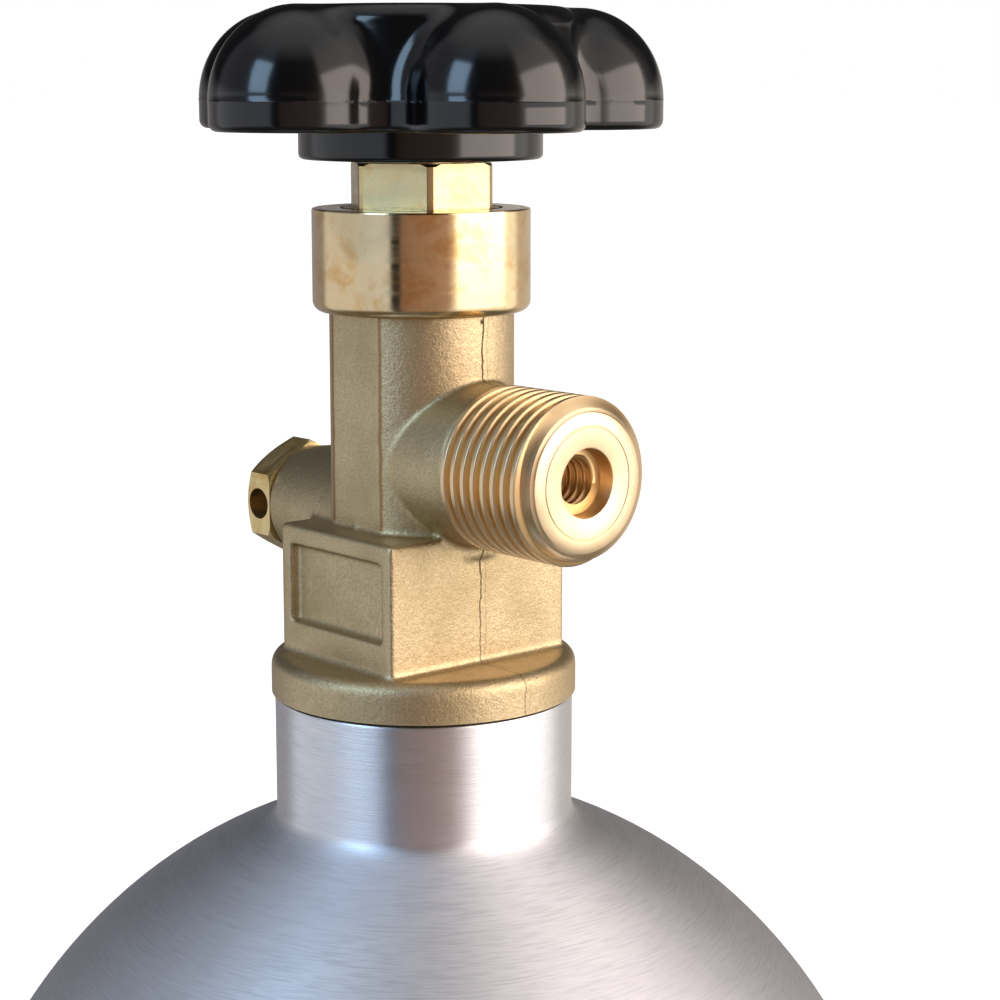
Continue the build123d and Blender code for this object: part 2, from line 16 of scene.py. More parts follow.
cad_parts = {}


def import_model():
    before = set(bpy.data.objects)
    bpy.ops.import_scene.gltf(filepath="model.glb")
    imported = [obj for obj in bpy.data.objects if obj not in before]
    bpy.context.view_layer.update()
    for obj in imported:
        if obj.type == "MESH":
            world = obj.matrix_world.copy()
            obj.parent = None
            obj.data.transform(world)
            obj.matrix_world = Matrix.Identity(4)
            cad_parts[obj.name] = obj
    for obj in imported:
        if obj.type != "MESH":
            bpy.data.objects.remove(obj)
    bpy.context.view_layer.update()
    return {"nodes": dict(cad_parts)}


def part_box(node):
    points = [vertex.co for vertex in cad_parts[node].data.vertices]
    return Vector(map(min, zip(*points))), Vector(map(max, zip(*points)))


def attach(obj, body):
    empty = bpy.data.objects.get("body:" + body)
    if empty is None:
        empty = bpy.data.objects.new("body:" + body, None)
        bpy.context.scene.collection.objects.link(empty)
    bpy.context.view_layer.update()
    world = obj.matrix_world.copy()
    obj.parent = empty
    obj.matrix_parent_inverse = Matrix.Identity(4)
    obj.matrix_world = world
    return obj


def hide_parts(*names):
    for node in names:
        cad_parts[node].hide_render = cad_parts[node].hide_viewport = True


LOG = logging.getLogger("gas_cylinder")
MM = 0.001
MERGE = 1e-6  # metres within which two points are one
SAME = 0.001  # mm within which two radii are the same
CLEAR = 2.0  # mm by which a cutter clears what it cuts

Piece = bpy.types.Object
Socket = bpy.types.NodeSocket
Profile = list[tuple[float, float]]
Points = tuple[tuple[float, float], ...]
Range = tuple[float, float]
Colour = tuple[float, float, float]
Spot = tuple[float, float, float]
Paint = Union[str, Colour, Socket]
Stops = tuple[tuple[float, Colour], ...]

WHITE: Colour = (1, 1, 1)


# ---- Shared modelling steps -----------------------------------------------------------
class TurningAxis(Enum):
    """The centre lines that pieces are turned about, and how far each turns from +Z about X."""

    STEM = 0.0
    OUTLET = pi / 2
    RELIEF = -pi / 2

    def placement(self, height: float = 0.0) -> Matrix:
        """Returns the matrix that takes a piece turned about +Z to this centre line, at a height in mm."""
        return Matrix.Translation((0, 0, height * MM)) @ Matrix.Rotation(self.value, 4, "X")


class Cut(Enum):
    """What a boolean does to the piece it is applied to."""

    REMOVE = "DIFFERENCE"
    KEEP_COMMON = "INTERSECT"


def arc(centre_r: float, centre_z: float, radius: float, start: float, end: float, steps: int = 8) -> Profile:
    """Points of a circular stretch of a profile.

    Args:
        centre_r: the centre's distance from the axis.
        centre_z: the centre's height.
        radius: radius of the stretch.
        start: first angle in degrees, from the outward direction towards +Z.
        end: last angle in degrees.
        steps: how many chords the stretch has.

    Returns:
        The points in order, both ends included.
    """
    angles = [radians(start + (end - start) * i / steps) for i in range(steps + 1)]
    return [(centre_r + radius * cos(a), centre_z + radius * sin(a)) for a in angles]


def rod(r: float, start: float, end: float) -> Profile:
    """Returns the outline of a plain round bar between two heights."""
    return [(0, start), (r, start), (r, end), (0, end)]


def moved(points: Points, r: float, z: float) -> Profile:
    """Returns points of a profile, moved outward by r and up by z."""
    return [(r + dr, z + dz) for dr, dz in points]


def oval(centre_z: float, half_width: float, half_height: float, start: float, end: float) -> Profile:
    """Points along an ellipse centred on the axis, between two angles in radians.

    Args:
        centre_z: height of the ellipse's centre.
        half_width: half axis across.
        half_height: half axis along.
        start: first angle.
        end: last angle.

    Returns:
        The points in order, about two degrees apart.
    """
    steps = round(abs(end - start) / radians(2))
    angles = [start + (end - start) * i / steps for i in range(steps + 1)]
    return [(half_width * cos(a), centre_z + half_height * sin(a)) for a in angles]


class Workbench:
    """The steps by which every new piece is made."""

    @staticmethod
    def only(piece: Piece) -> None:
        """Selects one piece and makes it active."""
        bpy.ops.object.select_all(action="DESELECT")
        piece.select_set(True)
        bpy.context.view_layer.objects.active = piece

    @staticmethod
    def start(name: str, shape: str, **settings: object) -> Piece:
        """Adds a primitive, such as a "cube", with its settings, and returns it under its name."""
        bpy.ops.object.select_all(action="DESELECT")
        getattr(bpy.ops.mesh, f"primitive_{shape}_add")(**settings)
        piece = bpy.context.object
        piece.name = piece.data.name = name
        return piece

    @classmethod
    def lathe(cls, name: str, profile: Sequence[Range], steps: int = 128) -> Piece:
        """Draws a profile edge by edge and spins it about Z.

        Args:
            name: the piece's name.
            profile: distance from the axis and height of each corner, in mm.
            steps: how many facets go round.

        Returns:
            The closed piece, its normals outward.
        """
        piece = cls.start(name, "plane", size=MM)
        bpy.ops.object.mode_set(mode="EDIT")
        bpy.ops.mesh.select_all(action="SELECT")
        bpy.ops.mesh.merge(type="CENTER")
        bpy.ops.transform.translate(value=(profile[0][0] * MM, 0, profile[0][1] * MM))
        for (r0, z0), (r1, z1) in zip(profile, profile[1:]):
            step = ((r1 - r0) * MM, 0, (z1 - z0) * MM)
            bpy.ops.mesh.extrude_region_move(TRANSFORM_OT_translate={"value": step})
        bpy.ops.mesh.select_all(action="SELECT")
        bpy.ops.mesh.spin(steps=steps, angle=2 * pi, center=(0, 0, 0), axis=(0, 0, 1))
        bpy.ops.mesh.select_all(action="SELECT")
        bpy.ops.mesh.remove_doubles(threshold=MERGE)
        cls.turn_outward()
        return piece

    @staticmethod
    def turn_outward() -> None:
        """Turns the faces of the piece in edit mode outward and leaves edit mode."""
        bpy.ops.mesh.select_all(action="SELECT")
        bpy.ops.mesh.normals_make_consistent(inside=False)
        bpy.ops.object.mode_set(mode="OBJECT")

    @classmethod
    def face_off(cls, piece: Piece, height: float) -> None:
        """Takes off what lies under a height in mm and closes the cut."""
        cls.only(piece)
        bpy.ops.object.mode_set(mode="EDIT")
        bpy.ops.mesh.select_all(action="SELECT")
        bpy.ops.mesh.bisect(plane_co=(0, 0, height * MM), plane_no=(0, 0, 1), use_fill=True, clear_inner=True)
        cls.turn_outward()

    @classmethod
    def block(cls, name: str, size: Sequence[float], centre: Sequence[float], corner: float = 0.0) -> Piece:
        """A block with bevelled edges.

        Args:
            name: the piece's name.
            size: its three sizes in mm.
            centre: its centre in mm.
            corner: width of the bevel in mm, or 0 for none.

        Returns:
            The piece, in place.
        """
        piece = cls.start(name, "cube", size=MM)
        bpy.ops.object.mode_set(mode="EDIT")
        bpy.ops.transform.resize(value=size)
        bpy.ops.transform.translate(value=[c * MM for c in centre])
        if corner:
            bpy.ops.mesh.bevel(offset=corner * MM, segments=3, affect="EDGES")
        bpy.ops.object.mode_set(mode="OBJECT")
        return piece

    @classmethod
    def prism(cls, name: str, flats: float, start: float, end: float, turn: float) -> Piece:
        """A hexagonal bar along Z.

        Args:
            name: the piece's name.
            flats: its size across flats in mm.
            start: height of its lower end in mm.
            end: height of its upper end in mm.
            turn: angle of one corner about Z in degrees.

        Returns:
            The bar.
        """
        piece = cls.start(
            name, "cylinder", vertices=6, radius=flats / sqrt(3) * MM, depth=(end - start) * MM,
            location=(0, 0, (start + end) / 2 * MM), rotation=(0, 0, radians(turn - 90)),
        )
        bpy.ops.object.transform_apply(location=True, rotation=True, scale=True)
        return piece

    @classmethod
    def put(cls, piece: Piece, place: Matrix) -> None:
        """Takes a piece turned about Z to another centre line."""
        cls.only(piece)
        piece.matrix_world = place
        bpy.ops.object.transform_apply(location=True, rotation=True, scale=True)

    @classmethod
    def modify(cls, piece: Piece, kind: str, **settings: object) -> None:
        """Adds a modifier with its settings and applies it.

        Args:
            piece: the piece to change.
            kind: Blender's name for the modifier's type.
            settings: the modifier's fields and their values.
        """
        cls.only(piece)
        modifier = piece.modifiers.new(kind.lower(), kind)
        for name, value in settings.items():
            setattr(modifier, name, value)
        bpy.ops.object.modifier_apply(modifier=modifier.name)

    @classmethod
    def cut(cls, piece: Piece, tool: Piece, cut: Cut = Cut.REMOVE) -> None:
        """Cuts a piece with another, which is used up."""
        cls.modify(piece, "BOOLEAN", operation=cut.value, object=tool, solver="EXACT")
        bpy.data.objects.remove(tool)

    @classmethod
    def soften(cls, piece: Piece, width: float) -> None:
        """Breaks a milled piece's sharp edges, by a width in mm."""
        cls.modify(piece, "BEVEL", width=width * MM, segments=2, limit_method="ANGLE", angle_limit=radians(30),
                   use_clamp_overlap=True)

    @classmethod
    def join(cls, name: str, pieces: Sequence[Piece]) -> Piece:
        """Joins pieces into the first of them and returns it."""
        bpy.ops.object.select_all(action="DESELECT")
        for piece in pieces:
            piece.select_set(True)
        bpy.context.view_layer.objects.active = pieces[0]
        bpy.ops.object.join()
        pieces[0].name = pieces[0].data.name = name
        return pieces[0]

    @staticmethod
    def reshape(piece: Piece, rule: Callable[[float, float, float], float]) -> None:
        """Moves every point of a turned piece nearer to or further from the Z axis.

        Args:
            piece: a piece still turned about Z.
            rule: gives the new distance in mm from the angle about Z, the distance and the height in mm.
        """
        for vertex in piece.data.vertices:
            distance = hypot(vertex.co.x, vertex.co.y)
            if distance > MERGE:
                angle = atan2(vertex.co.y, vertex.co.x)
                wanted = rule(angle, distance / MM, vertex.co.z / MM) * MM
                vertex.co.x *= wanted / distance
                vertex.co.y *= wanted / distance
        piece.data.update()

    @classmethod
    def dress(cls, piece: Piece, body: str, slot: str, finish: "Finish", crease: float = 35.0,
              replaces: Sequence[str] = ()) -> None:
        """Shades a finished piece, gives it its finish and hangs it on its body.

        Args:
            piece: the finished piece.
            body: the body it rides on.
            slot: the material slot's name; not used.
            finish: the finish it gets.
            crease: edges sharper than this many degrees stay sharp.
            replaces: the frame's nodes it stands for.
        """
        cls.only(piece)
        bpy.ops.object.shade_smooth_by_angle(angle=radians(crease))
        # the broad faces keep their own direction, so that a rounded edge doesn't bend their reflections
        cls.modify(piece, "WEIGHTED_NORMAL", keep_sharp=True)
        piece.data.materials.clear()
        piece.data.materials.append(finish.material())
        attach(piece, body)
        if replaces:
            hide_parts(*replaces)
        LOG.info("%s rides on %s, %d faces", piece.name, body, len(piece.data.polygons))


# ---- Shared material steps ------------------------------------------------------------
def linear(colour: str) -> tuple[float, float, float, float]:
    """Turns an sRGB hex colour, such as "c8a060", into linear red, green, blue and alpha."""
    parts = [int(colour[i:i + 2], 16) / 255 for i in (0, 2, 4)]
    return (*[p / 12.92 if p <= 0.04045 else ((p + 0.055) / 1.055) ** 2.4 for p in parts], 1.0)


def per(size: float) -> float:
    """Returns the pattern scale whose features are a size in mm."""
    return 1 / (size * MM)


def add_node(tree: bpy.types.NodeTree, kind: str, settings: Optional[dict] = None,
             links: Optional[dict] = None) -> bpy.types.Node:
    """Adds one node.

    Args:
        tree: the tree it goes in.
        kind: the node's type, without the "ShaderNode" in front.
        settings: values for inputs, by name or number, or for the node's own fields.
        links: output sockets for inputs, by name or number.

    Returns:
        The new node.
    """
    node = tree.nodes.new("ShaderNode" + kind)
    for name, value in (settings or {}).items():
        if isinstance(name, int) or name in node.inputs:
            node.inputs[name].default_value = value
        else:
            setattr(node, name, value)
    for name, socket in (links or {}).items():
        tree.links.new(socket, node.inputs[name])
    return node


class Nodes:
    """One node tree, with a short step for each kind of node that is used often."""

    def __init__(self, tree: bpy.types.NodeTree) -> None:
        """Empties a tree and keeps it."""
        self.tree = tree
        self.tree.nodes.clear()

    def add(self, kind: str, settings: Optional[dict] = None, links: Optional[dict] = None) -> bpy.types.Node:
        """Adds a node to this tree, as add_node does."""
        return add_node(self.tree, kind, settings, links)

    def part(self, vector: Socket, axis: str) -> Socket:
        """Returns the X, Y or Z of a vector or a colour."""
        return self.add("SeparateXYZ", links={0: vector}).outputs[axis]

    def fade(self, value: Socket, start: float, end: float, low: float = 0.0, high: float = 1.0) -> Socket:
        """Takes a value from one range to another and stops at its ends.

        Args:
            value: the value.
            start: where it gives low.
            end: where it gives high, above or below start.
            low: what start gives.
            high: what end gives.

        Returns:
            The new value.
        """
        settings = {"From Min": start, "From Max": end, "To Min": low, "To Max": high}
        return self.add("MapRange", settings, {"Value": value}).outputs[0]

    def math(self, operation: str, *terms: Union[float, Socket], clamp: bool = False) -> Socket:
        """Works out a number.

        Args:
            operation: Blender's name for what is done.
            terms: the numbers and outputs it is done to, in order.
            clamp: whether the result is kept between 0 and 1.

        Returns:
            The result.
        """
        numbers = {i: term for i, term in enumerate(terms) if not isinstance(term, Socket)}
        links = {i: term for i, term in enumerate(terms) if isinstance(term, Socket)}
        return self.add("Math", {"operation": operation, "use_clamp": clamp, **numbers}, links).outputs[0]

    def blend(self, share: Socket, first: Paint, second: Paint) -> Socket:
        """Mixes two colours.

        Args:
            share: how much of the second there is.
            first: an output, an sRGB hex colour or a linear colour.
            second: the same.

        Returns:
            The colour.
        """
        ends = {6: first, 7: second}
        fixed = {i: linear(c) if isinstance(c, str) else (*c, 1) for i, c in ends.items() if not isinstance(c, Socket)}
        links = {i: c for i, c in ends.items() if isinstance(c, Socket)}
        return self.add("Mix", {"data_type": "RGBA", **fixed}, {0: share, **links}).outputs[2]


class Recipe(Nodes):
    """One material in the making: its tree, its shader and the place each pattern starts from."""

    def __init__(self, name: str, constants: dict) -> None:
        """Starts a material.

        Args:
            name: the material's name.
            constants: what is the same all over the surface, by the shader's socket names.
        """
        self.material = bpy.data.materials.new(name)
        self.material.use_nodes = True
        super().__init__(self.material.node_tree)
        self.shader = self.add("BsdfPrincipled", constants)
        self.add("OutputMaterial", links={"Surface": self.shader.outputs[0]})
        self.place = self.add("TexCoord").outputs["Object"]

    def feed(self, **sockets: Socket) -> None:
        """Links outputs to the shader's sockets, with an underscore for a space in a name."""
        for name, socket in sockets.items():
            self.tree.links.new(socket, self.shader.inputs[name.replace("_", " ")])

    def noise(self, size: float, detail: float, at: Optional[Socket] = None, **settings: float) -> Socket:
        """Adds a cloudy pattern.

        Args:
            size: size of its features in mm.
            detail: how many finer layers it has.
            at: where it is looked up, or None for the piece's own coordinates.
            settings: the node's other inputs.

        Returns:
            The pattern, about 0.5 on the whole.
        """
        settings = {"Scale": per(size), "Detail": detail, **settings}
        return self.add("TexNoise", settings, {"Vector": at or self.place}).outputs[0]

    def specks(self, size: float, rarity: float, reach: Range, strength: float = 1.0) -> Socket:
        """Scatters round specks, one in some of the cells of a pattern.

        Args:
            size: size of a cell in mm.
            rarity: share of the cells without a speck.
            reach: a speck's rim and its full depth, as shares of a cell.
            strength: the value in a speck's middle.

        Returns:
            The specks, 0 between them.
        """
        cells = self.add("TexVoronoi", {"Scale": per(size)}, {"Vector": self.place})
        chosen = self.math("GREATER_THAN", self.part(cells.outputs["Color"], "X"), rarity)
        return self.math("MULTIPLY", self.fade(cells.outputs["Distance"], *reach, high=strength), chosen)

    def turned(self, at: Socket) -> tuple[Socket, Socket, Socket]:
        """Returns the distance from Z, the height, and a vector of both, in which patterns run round."""
        flat = self.add("VectorMath", {"operation": "MULTIPLY", 1: (1, 1, 0)}, {0: at}).outputs[0]
        radius = self.add("VectorMath", {"operation": "LENGTH"}, {0: flat}).outputs["Value"]
        height = self.part(at, "Z")
        return radius, height, self.add("CombineXYZ", links={"X": radius, "Y": height}).outputs[0]

    def round_axis(self, axis: str) -> Socket:
        """Returns the direction round an axis, which stretches highlights along it."""
        return self.add("Tangent", {"direction_type": "RADIAL", "axis": axis}).outputs[0]

    def bump(self, height: Socket, relief: Range, under: Optional[Socket] = None) -> Socket:
        """Roughens the surface.

        Args:
            height: the pattern of the relief.
            relief: its strength, and its depth in mm.
            under: the surface it lies on, or None for the smooth one.

        Returns:
            The surface's direction.
        """
        links = {"Height": height, "Normal": under} if under else {"Height": height}
        return self.add("Bump", {"Strength": relief[0], "Distance": relief[1] * MM}, links).outputs[0]


class Finish:
    """A finish, which makes its material the first time it is asked for."""

    made: dict = {}

    def material(self) -> bpy.types.Material:
        """Returns this finish's material, made once."""
        if self not in Finish.made:
            Finish.made[self] = self.mix().material
        return Finish.made[self]

    def mix(self) -> Recipe:
        """Builds the node tree."""
        raise NotImplementedError


@dataclass(frozen=True)
class BrushedAluminium(Finish):
    """Bare aluminium, spun and brushed round: satin lines that stretch every highlight along the cylinder."""

    name: str = "brushed_aluminium_6061"
    colour: str = "e3e4e8"
    smudge: str = "d6d6dc"
    scratch: str = "d3d4d9"
    line: float = 0.15  # brushing lines, drawn a little coarser than real
    streak: float = 4.0  # length of one brush stroke's mark
    band: float = 2.4  # groups of lines
    patch: float = 24.0  # handling smudges
    smudged: Range = (0.40, 0.80)  # pattern values between which smudges come in
    scratched: Range = (0.44, 0.70)  # the same for brush strokes
    shoulder_z: float = 0.3571  # metres
    crease: Range = (0.0003, 0.0025)  # metres over shoulder_z, where the neck's finer turning starts
    shoulder_roughness: float = 0.56
    neck_roughness: float = 0.23
    smudge_matt: float = 0.03  # what a smudge adds to the roughness
    band_matt: float = 0.10
    stroke_matt: float = 0.12
    line_relief: Range = (0.5, 0.04)
    band_relief: Range = (0.3, 0.01)

    def mix(self) -> Recipe:
        """Builds the node tree: lines by distance from the axis and height, so that they run round."""
        r = Recipe(self.name, {"Metallic": 1.0, "Anisotropic": 0.6, "Anisotropic Rotation": 0.25})
        _, height, across = r.turned(r.place)
        lines = r.noise(self.line, 3.0, across, Roughness=0.6)
        bands = r.noise(self.band, 2.0, across)
        smudged = r.fade(r.noise(self.patch, 4.0), *self.smudged)
        stretch = self.line / self.streak
        strokes = r.noise(self.line, 2.0, r.add("Mapping", {"Scale": (stretch, stretch, 1)},
                                                {"Vector": r.place}).outputs[0])
        start, end = (self.shoulder_z + rise for rise in self.crease)
        rough = r.fade(height, start, end, self.shoulder_roughness, self.neck_roughness)
        for pattern, share in ((smudged, self.smudge_matt), (bands, self.band_matt), (strokes, self.stroke_matt)):
            rough = r.math("MULTIPLY_ADD", pattern, share, rough)
        base = r.blend(smudged, self.colour, self.smudge)
        colour = r.blend(r.fade(strokes, *self.scratched), base, self.scratch)
        fine = r.bump(r.math("ADD", lines, strokes), self.line_relief)
        broad = r.bump(bands, self.band_relief, fine)
        r.feed(Base_Color=colour, Roughness=rough, Normal=broad, Tangent=r.round_axis("Z"))
        return r


@dataclass(frozen=True)
class ForgedBrass(Finish):
    """Hot forged brass, shot blasted: a sandy satin skin with olive patches, pits and a parting line."""

    name: str = "forged_brass_cw617n"
    colour: str = "d3bf9c"
    patina: str = "a6946c"
    rubbed: str = "e2cb9f"
    # dark brown for the dirt in dimples and pits, and for the painted shade in the inner corners
    dirt_and_shade: str = "3f2f1b"
    # brown of the line painted along the corners of the column's flats
    corner_brown: str = "8f5f35"
    grain: float = 0.27  # shot marks, drawn coarser than the real 0.15
    dimple: float = 0.9
    blotch: float = 11.0
    wander: float = 2.6  # how often the dies' lines bend
    pit: float = 3.2
    pit_rarity: float = 0.96
    pit_reach: Range = (0.13, 0.05)
    blotched: Range = (0.42, 0.70)
    ridge: Range = (0.53, 0.60)  # pointiness of convex corners, which are rubbed brighter
    hollow: Range = (0.47, 0.40)  # pointiness of concave corners, which are painted darker as shade
    flash_edge: Range = (0.16 * MM, 0.04 * MM)  # half widths of the parting line, faint and full
    flash_sway: float = 0.7 * MM  # how far it strays from x = 0
    flash_step: float = 0.85 * MM  # to the fainter line beside it
    flash_fade: Range = (0.004, 0.02)  # metres over the collar, where the line gets stronger
    flat_corner: float = 5.04 * MM  # half width of the column's flats, a little outside their edge
    corner_edge: Range = (0.42 * MM, 0.12 * MM)  # half widths of the brown corner line there
    flats_x: float = 9.0 * MM  # only the flats are further out than this
    flats_z: float = 0.0228  # metres over the collar, where the column starts
    collar_z: float = 0.375
    roughness: Range = (0.40, 0.56)
    dimple_relief: Range = (0.6, 0.09)
    grain_relief: Range = (0.8, 0.055)

    def mix(self) -> Recipe:
        """Builds the node tree."""
        r = Recipe(self.name, {"Metallic": 1.0})
        x, y, z = (r.part(r.place, axis) for axis in "XYZ")
        grain, dimples = r.noise(self.grain, 2.0), r.noise(self.dimple, 3.0)
        blotches, bends = r.noise(self.blotch, 5.0, Roughness=0.6), r.noise(self.wander, 4.0)
        corner = r.add("NewGeometry").outputs["Pointiness"]
        skin = r.blend(r.fade(blotches, *self.blotched, high=0.6), self.colour, self.patina)
        rubbed = r.blend(r.fade(corner, *self.ridge, high=0.35), skin, self.rubbed)
        # the dies' parting line, x = 0, wandering a little and fading down the block
        sway = r.math("MULTIPLY_ADD", bends, 2 * self.flash_sway, -self.flash_sway)
        offset = r.math("ADD", x, sway)
        line = r.fade(r.math("ABSOLUTE", offset), *self.flash_edge)
        beside = r.math("ABSOLUTE", r.math("SUBTRACT", offset, self.flash_step))
        faint = r.fade(beside, *self.flash_edge, high=0.3)
        depth = r.fade(z, *(self.collar_z + rise for rise in self.flash_fade), 0.45, 0.95)
        flash = r.math("MULTIPLY", r.math("MAXIMUM", line, faint), depth)
        # a brown line painted along the corners of the column's flats, where the flat meets the round
        frayed = r.math("MULTIPLY_ADD", bends, 0.5 * MM, r.math("ABSOLUTE", y))
        off_corner = r.math("ABSOLUTE", r.math("SUBTRACT", frayed, self.flat_corner))
        on_flats = r.math("GREATER_THAN", r.math("ABSOLUTE", x), self.flats_x)
        on_column = r.math("GREATER_THAN", z, self.collar_z + self.flats_z)
        corner_brown = r.math("MULTIPLY", r.fade(off_corner, *self.corner_edge, high=0.75),
                      r.math("MULTIPLY", on_flats, on_column))
        # dirt in the dimples, a few scattered pits and the parting line, and painted shade in the inner corners
        dark = r.math("MAXIMUM", r.fade(dimples, 0.30, 0.18, high=0.4), r.fade(corner, *self.hollow, high=0.55))
        dark = r.math("MAXIMUM", dark, r.specks(self.pit, self.pit_rarity, self.pit_reach))
        dark = r.math("MAXIMUM", dark, flash, clamp=True)
        shaded = r.blend(r.fade(grain, 0.3, 0.7, 0.25), self.patina, rubbed)
        colour = r.blend(dark, r.blend(corner_brown, shaded, self.corner_brown), self.dirt_and_shade)
        coarse = r.bump(r.math("SUBTRACT", dimples, dark), self.dimple_relief)
        r.feed(Base_Color=colour, Roughness=r.fade(blotches, 0.0, 1.0, *self.roughness),
               Normal=r.bump(grain, self.grain_relief, coarse))
        return r


@dataclass(frozen=True)
class TurnedBrass(Finish):
    """Brass turned on a lathe: bright, with fine rings about its own axis and yellow handling stains."""

    name: str = "turned_brass_cw614n"
    axis: TurningAxis = TurningAxis.STEM
    height: float = 0.0
    colour: str = "e0c79c"
    stain: str = "cb9a52"
    bloom: str = "a9a488"
    ring: float = 0.11  # tool marks, one feed apart
    wave: float = 9.0  # slow waves across this many tool marks
    patch: float = 4.5
    haze: float = 2.2  # size of the dull bloom, in patches
    stained: Range = (0.50, 0.68)
    stained_share: float = 0.75
    bloomed: Range = (0.52, 0.72)
    bloomed_share: float = 0.45
    bloom_matt: float = 0.14
    roughness: float = 0.10
    wave_matt: float = 0.12
    tarnish: str = "dcb06c"  # the deeper gold left in grooves behind the freshly faced end
    tarnished_share: float = 0.65
    faced_at: float = -1.0  # how far along the axis the fresh end starts, or less than 0 for none
    faced_fade: float = 1.5
    crest_r: float = 10.4  # radius of the thread crests, which stay pale
    crest_depth: float = 0.35
    ring_relief: Range = (0.3, 0.004)
    wave_relief: Range = (0.3, 0.012)

    def mix(self) -> Recipe:
        """Builds the node tree: the pattern is taken back to the axis that the piece was turned about."""
        r = Recipe(self.name, {"Metallic": 1.0, "Anisotropic": 0.35, "Anisotropic Rotation": 0.25})
        back = self.axis.placement(self.height).inverted()
        local = r.add("Mapping", {"Location": back.to_translation(), "Rotation": back.to_euler()},
                      {"Vector": r.place}).outputs[0]
        radius, along, across = r.turned(local)
        rings, waves = r.noise(self.ring, 2.0, across), r.noise(self.ring * self.wave, 2.0, across)
        blots = r.noise(self.patch, 5.0, local, Roughness=0.65, Distortion=0.3)
        stained = r.fade(blots, *self.stained, high=self.stained_share)
        bloomed = r.fade(r.noise(self.patch * self.haze, 3.0, local), *self.bloomed, high=self.bloomed_share)
        colour = r.blend(bloomed, r.blend(stained, self.colour, self.stain), self.bloom)
        if self.faced_at > 0:
            behind = r.fade(along, self.faced_at * MM, (self.faced_at - self.faced_fade) * MM,
                            high=self.tarnished_share)
            sunk = r.fade(radius, self.crest_r * MM, (self.crest_r - self.crest_depth) * MM, low=0.25)
            colour = r.blend(r.math("MULTIPLY", behind, sunk), colour, self.tarnish)
        rough = r.fade(waves, 0.3, 0.7, self.roughness, self.roughness + self.wave_matt)
        marks = r.bump(rings, self.ring_relief)
        r.feed(Base_Color=colour, Roughness=r.math("MULTIPLY_ADD", bloomed, self.bloom_matt, rough),
               Normal=r.bump(waves, self.wave_relief, marks),
               Tangent=r.round_axis("Z" if self.axis is TurningAxis.STEM else "Y"))
        return r


@dataclass(frozen=True)
class Phenolic(Finish):
    """Compression moulded phenolic: deep glossy black, with faint flow waves, dust and mould specks."""

    name: str = "black_phenolic"
    colour: str = "08080a"
    dust: str = "4a4a4e"
    wave: float = 9.0
    skin: float = 0.5
    speck: float = 2.6
    speck_rarity: float = 0.86
    speck_reach: Range = (0.045, 0.02)
    chip: float = 0.8
    chipped: Range = (0.50, 0.62)
    parting_z: float = 0.45115
    parting_edge: Range = (0.22 * MM, 0.08 * MM)  # half widths of the mould's parting line
    hollow_r: float = 26.0  # the flash is left on the line only in the hollows, inside this radius
    hollow_fade: float = 2.0
    roughness: Range = (0.12, 0.18)
    mark_matt: float = 0.4
    wave_relief: Range = (0.25, 0.05)
    skin_relief: Range = (0.12, 0.004)

    def mix(self) -> Recipe:
        """Builds the node tree."""
        r = Recipe(self.name, {"IOR": 1.54})
        skin = r.noise(self.skin, 2.0)
        dust = r.specks(self.speck, self.speck_rarity, self.speck_reach, 0.6)
        # the mould's parting line stays a little matt and chipped between the lobes
        radius, height, _ = r.turned(r.place)
        line = r.fade(r.math("ABSOLUTE", r.math("SUBTRACT", height, self.parting_z)), *self.parting_edge)
        hollow = r.fade(radius, self.hollow_r * MM, (self.hollow_r - self.hollow_fade) * MM, low=0.08)
        chipped = r.fade(r.noise(self.chip, 3.0), *self.chipped)
        marks = r.math("MAXIMUM", dust, r.math("MULTIPLY", r.math("MULTIPLY", line, hollow), chipped))
        matt = r.math("MULTIPLY_ADD", marks, self.mark_matt, r.fade(skin, 0.0, 1.0, *self.roughness))
        swell = r.bump(r.noise(self.wave, 1.0), self.wave_relief)
        r.feed(Base_Color=r.blend(marks, self.colour, self.dust), Roughness=matt,
               Normal=r.bump(skin, self.skin_relief, swell))
        return r


@dataclass(frozen=True)
class PlainStock(Finish):
    """Small inner parts: seals, washers and plated steel, each with its own grain and wear."""

    name: str
    colour: str
    worn: str
    metallic: float
    roughness: float
    grain: float = 0.4
    patch: float = 9.0  # size of the worn patches, in grains
    ior: float = 1.5
    wear: Range = (0.4, 0.7)
    relief: Range = (0.3, 0.01)

    def mix(self) -> Recipe:
        """Builds the node tree."""
        constants = {"Metallic": self.metallic}
        if not self.metallic:
            constants["IOR"] = self.ior
        r = Recipe(self.name, constants)
        grain = r.noise(self.grain, 3.0)
        wear = r.fade(r.noise(self.grain * self.patch, 2.0), *self.wear)
        r.feed(Base_Color=r.blend(wear, self.colour, self.worn), Normal=r.bump(grain, self.relief),
               Roughness=r.fade(grain, 0.0, 1.0, self.roughness - 0.06, self.roughness + 0.1))
        return r


RUBBER = PlainStock("nitrile_rubber", "121212", "1e1e1f", 0.0, 0.55)
POLYMER = PlainStock("white_nylon", "e4e0d4", "d2ccba", 0.0, 0.42)
COPPER = PlainStock("soft_copper", "d98f6d", "a86445", 1.0, 0.30)
PLATED_STEEL = PlainStock("zinc_plated_steel", "c4c6c8", "a2a29c", 1.0, 0.32)


# ---- Sub-assemblies -------------------------------------------------------------------
def top_of(node: str) -> float:
    """Returns the height of a frame node's top in mm."""
    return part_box(node)[1].z / MM


def foot_of(node: str) -> float:
    """Returns the height of a frame node's lowest point in mm."""
    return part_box(node)[0].z / MM


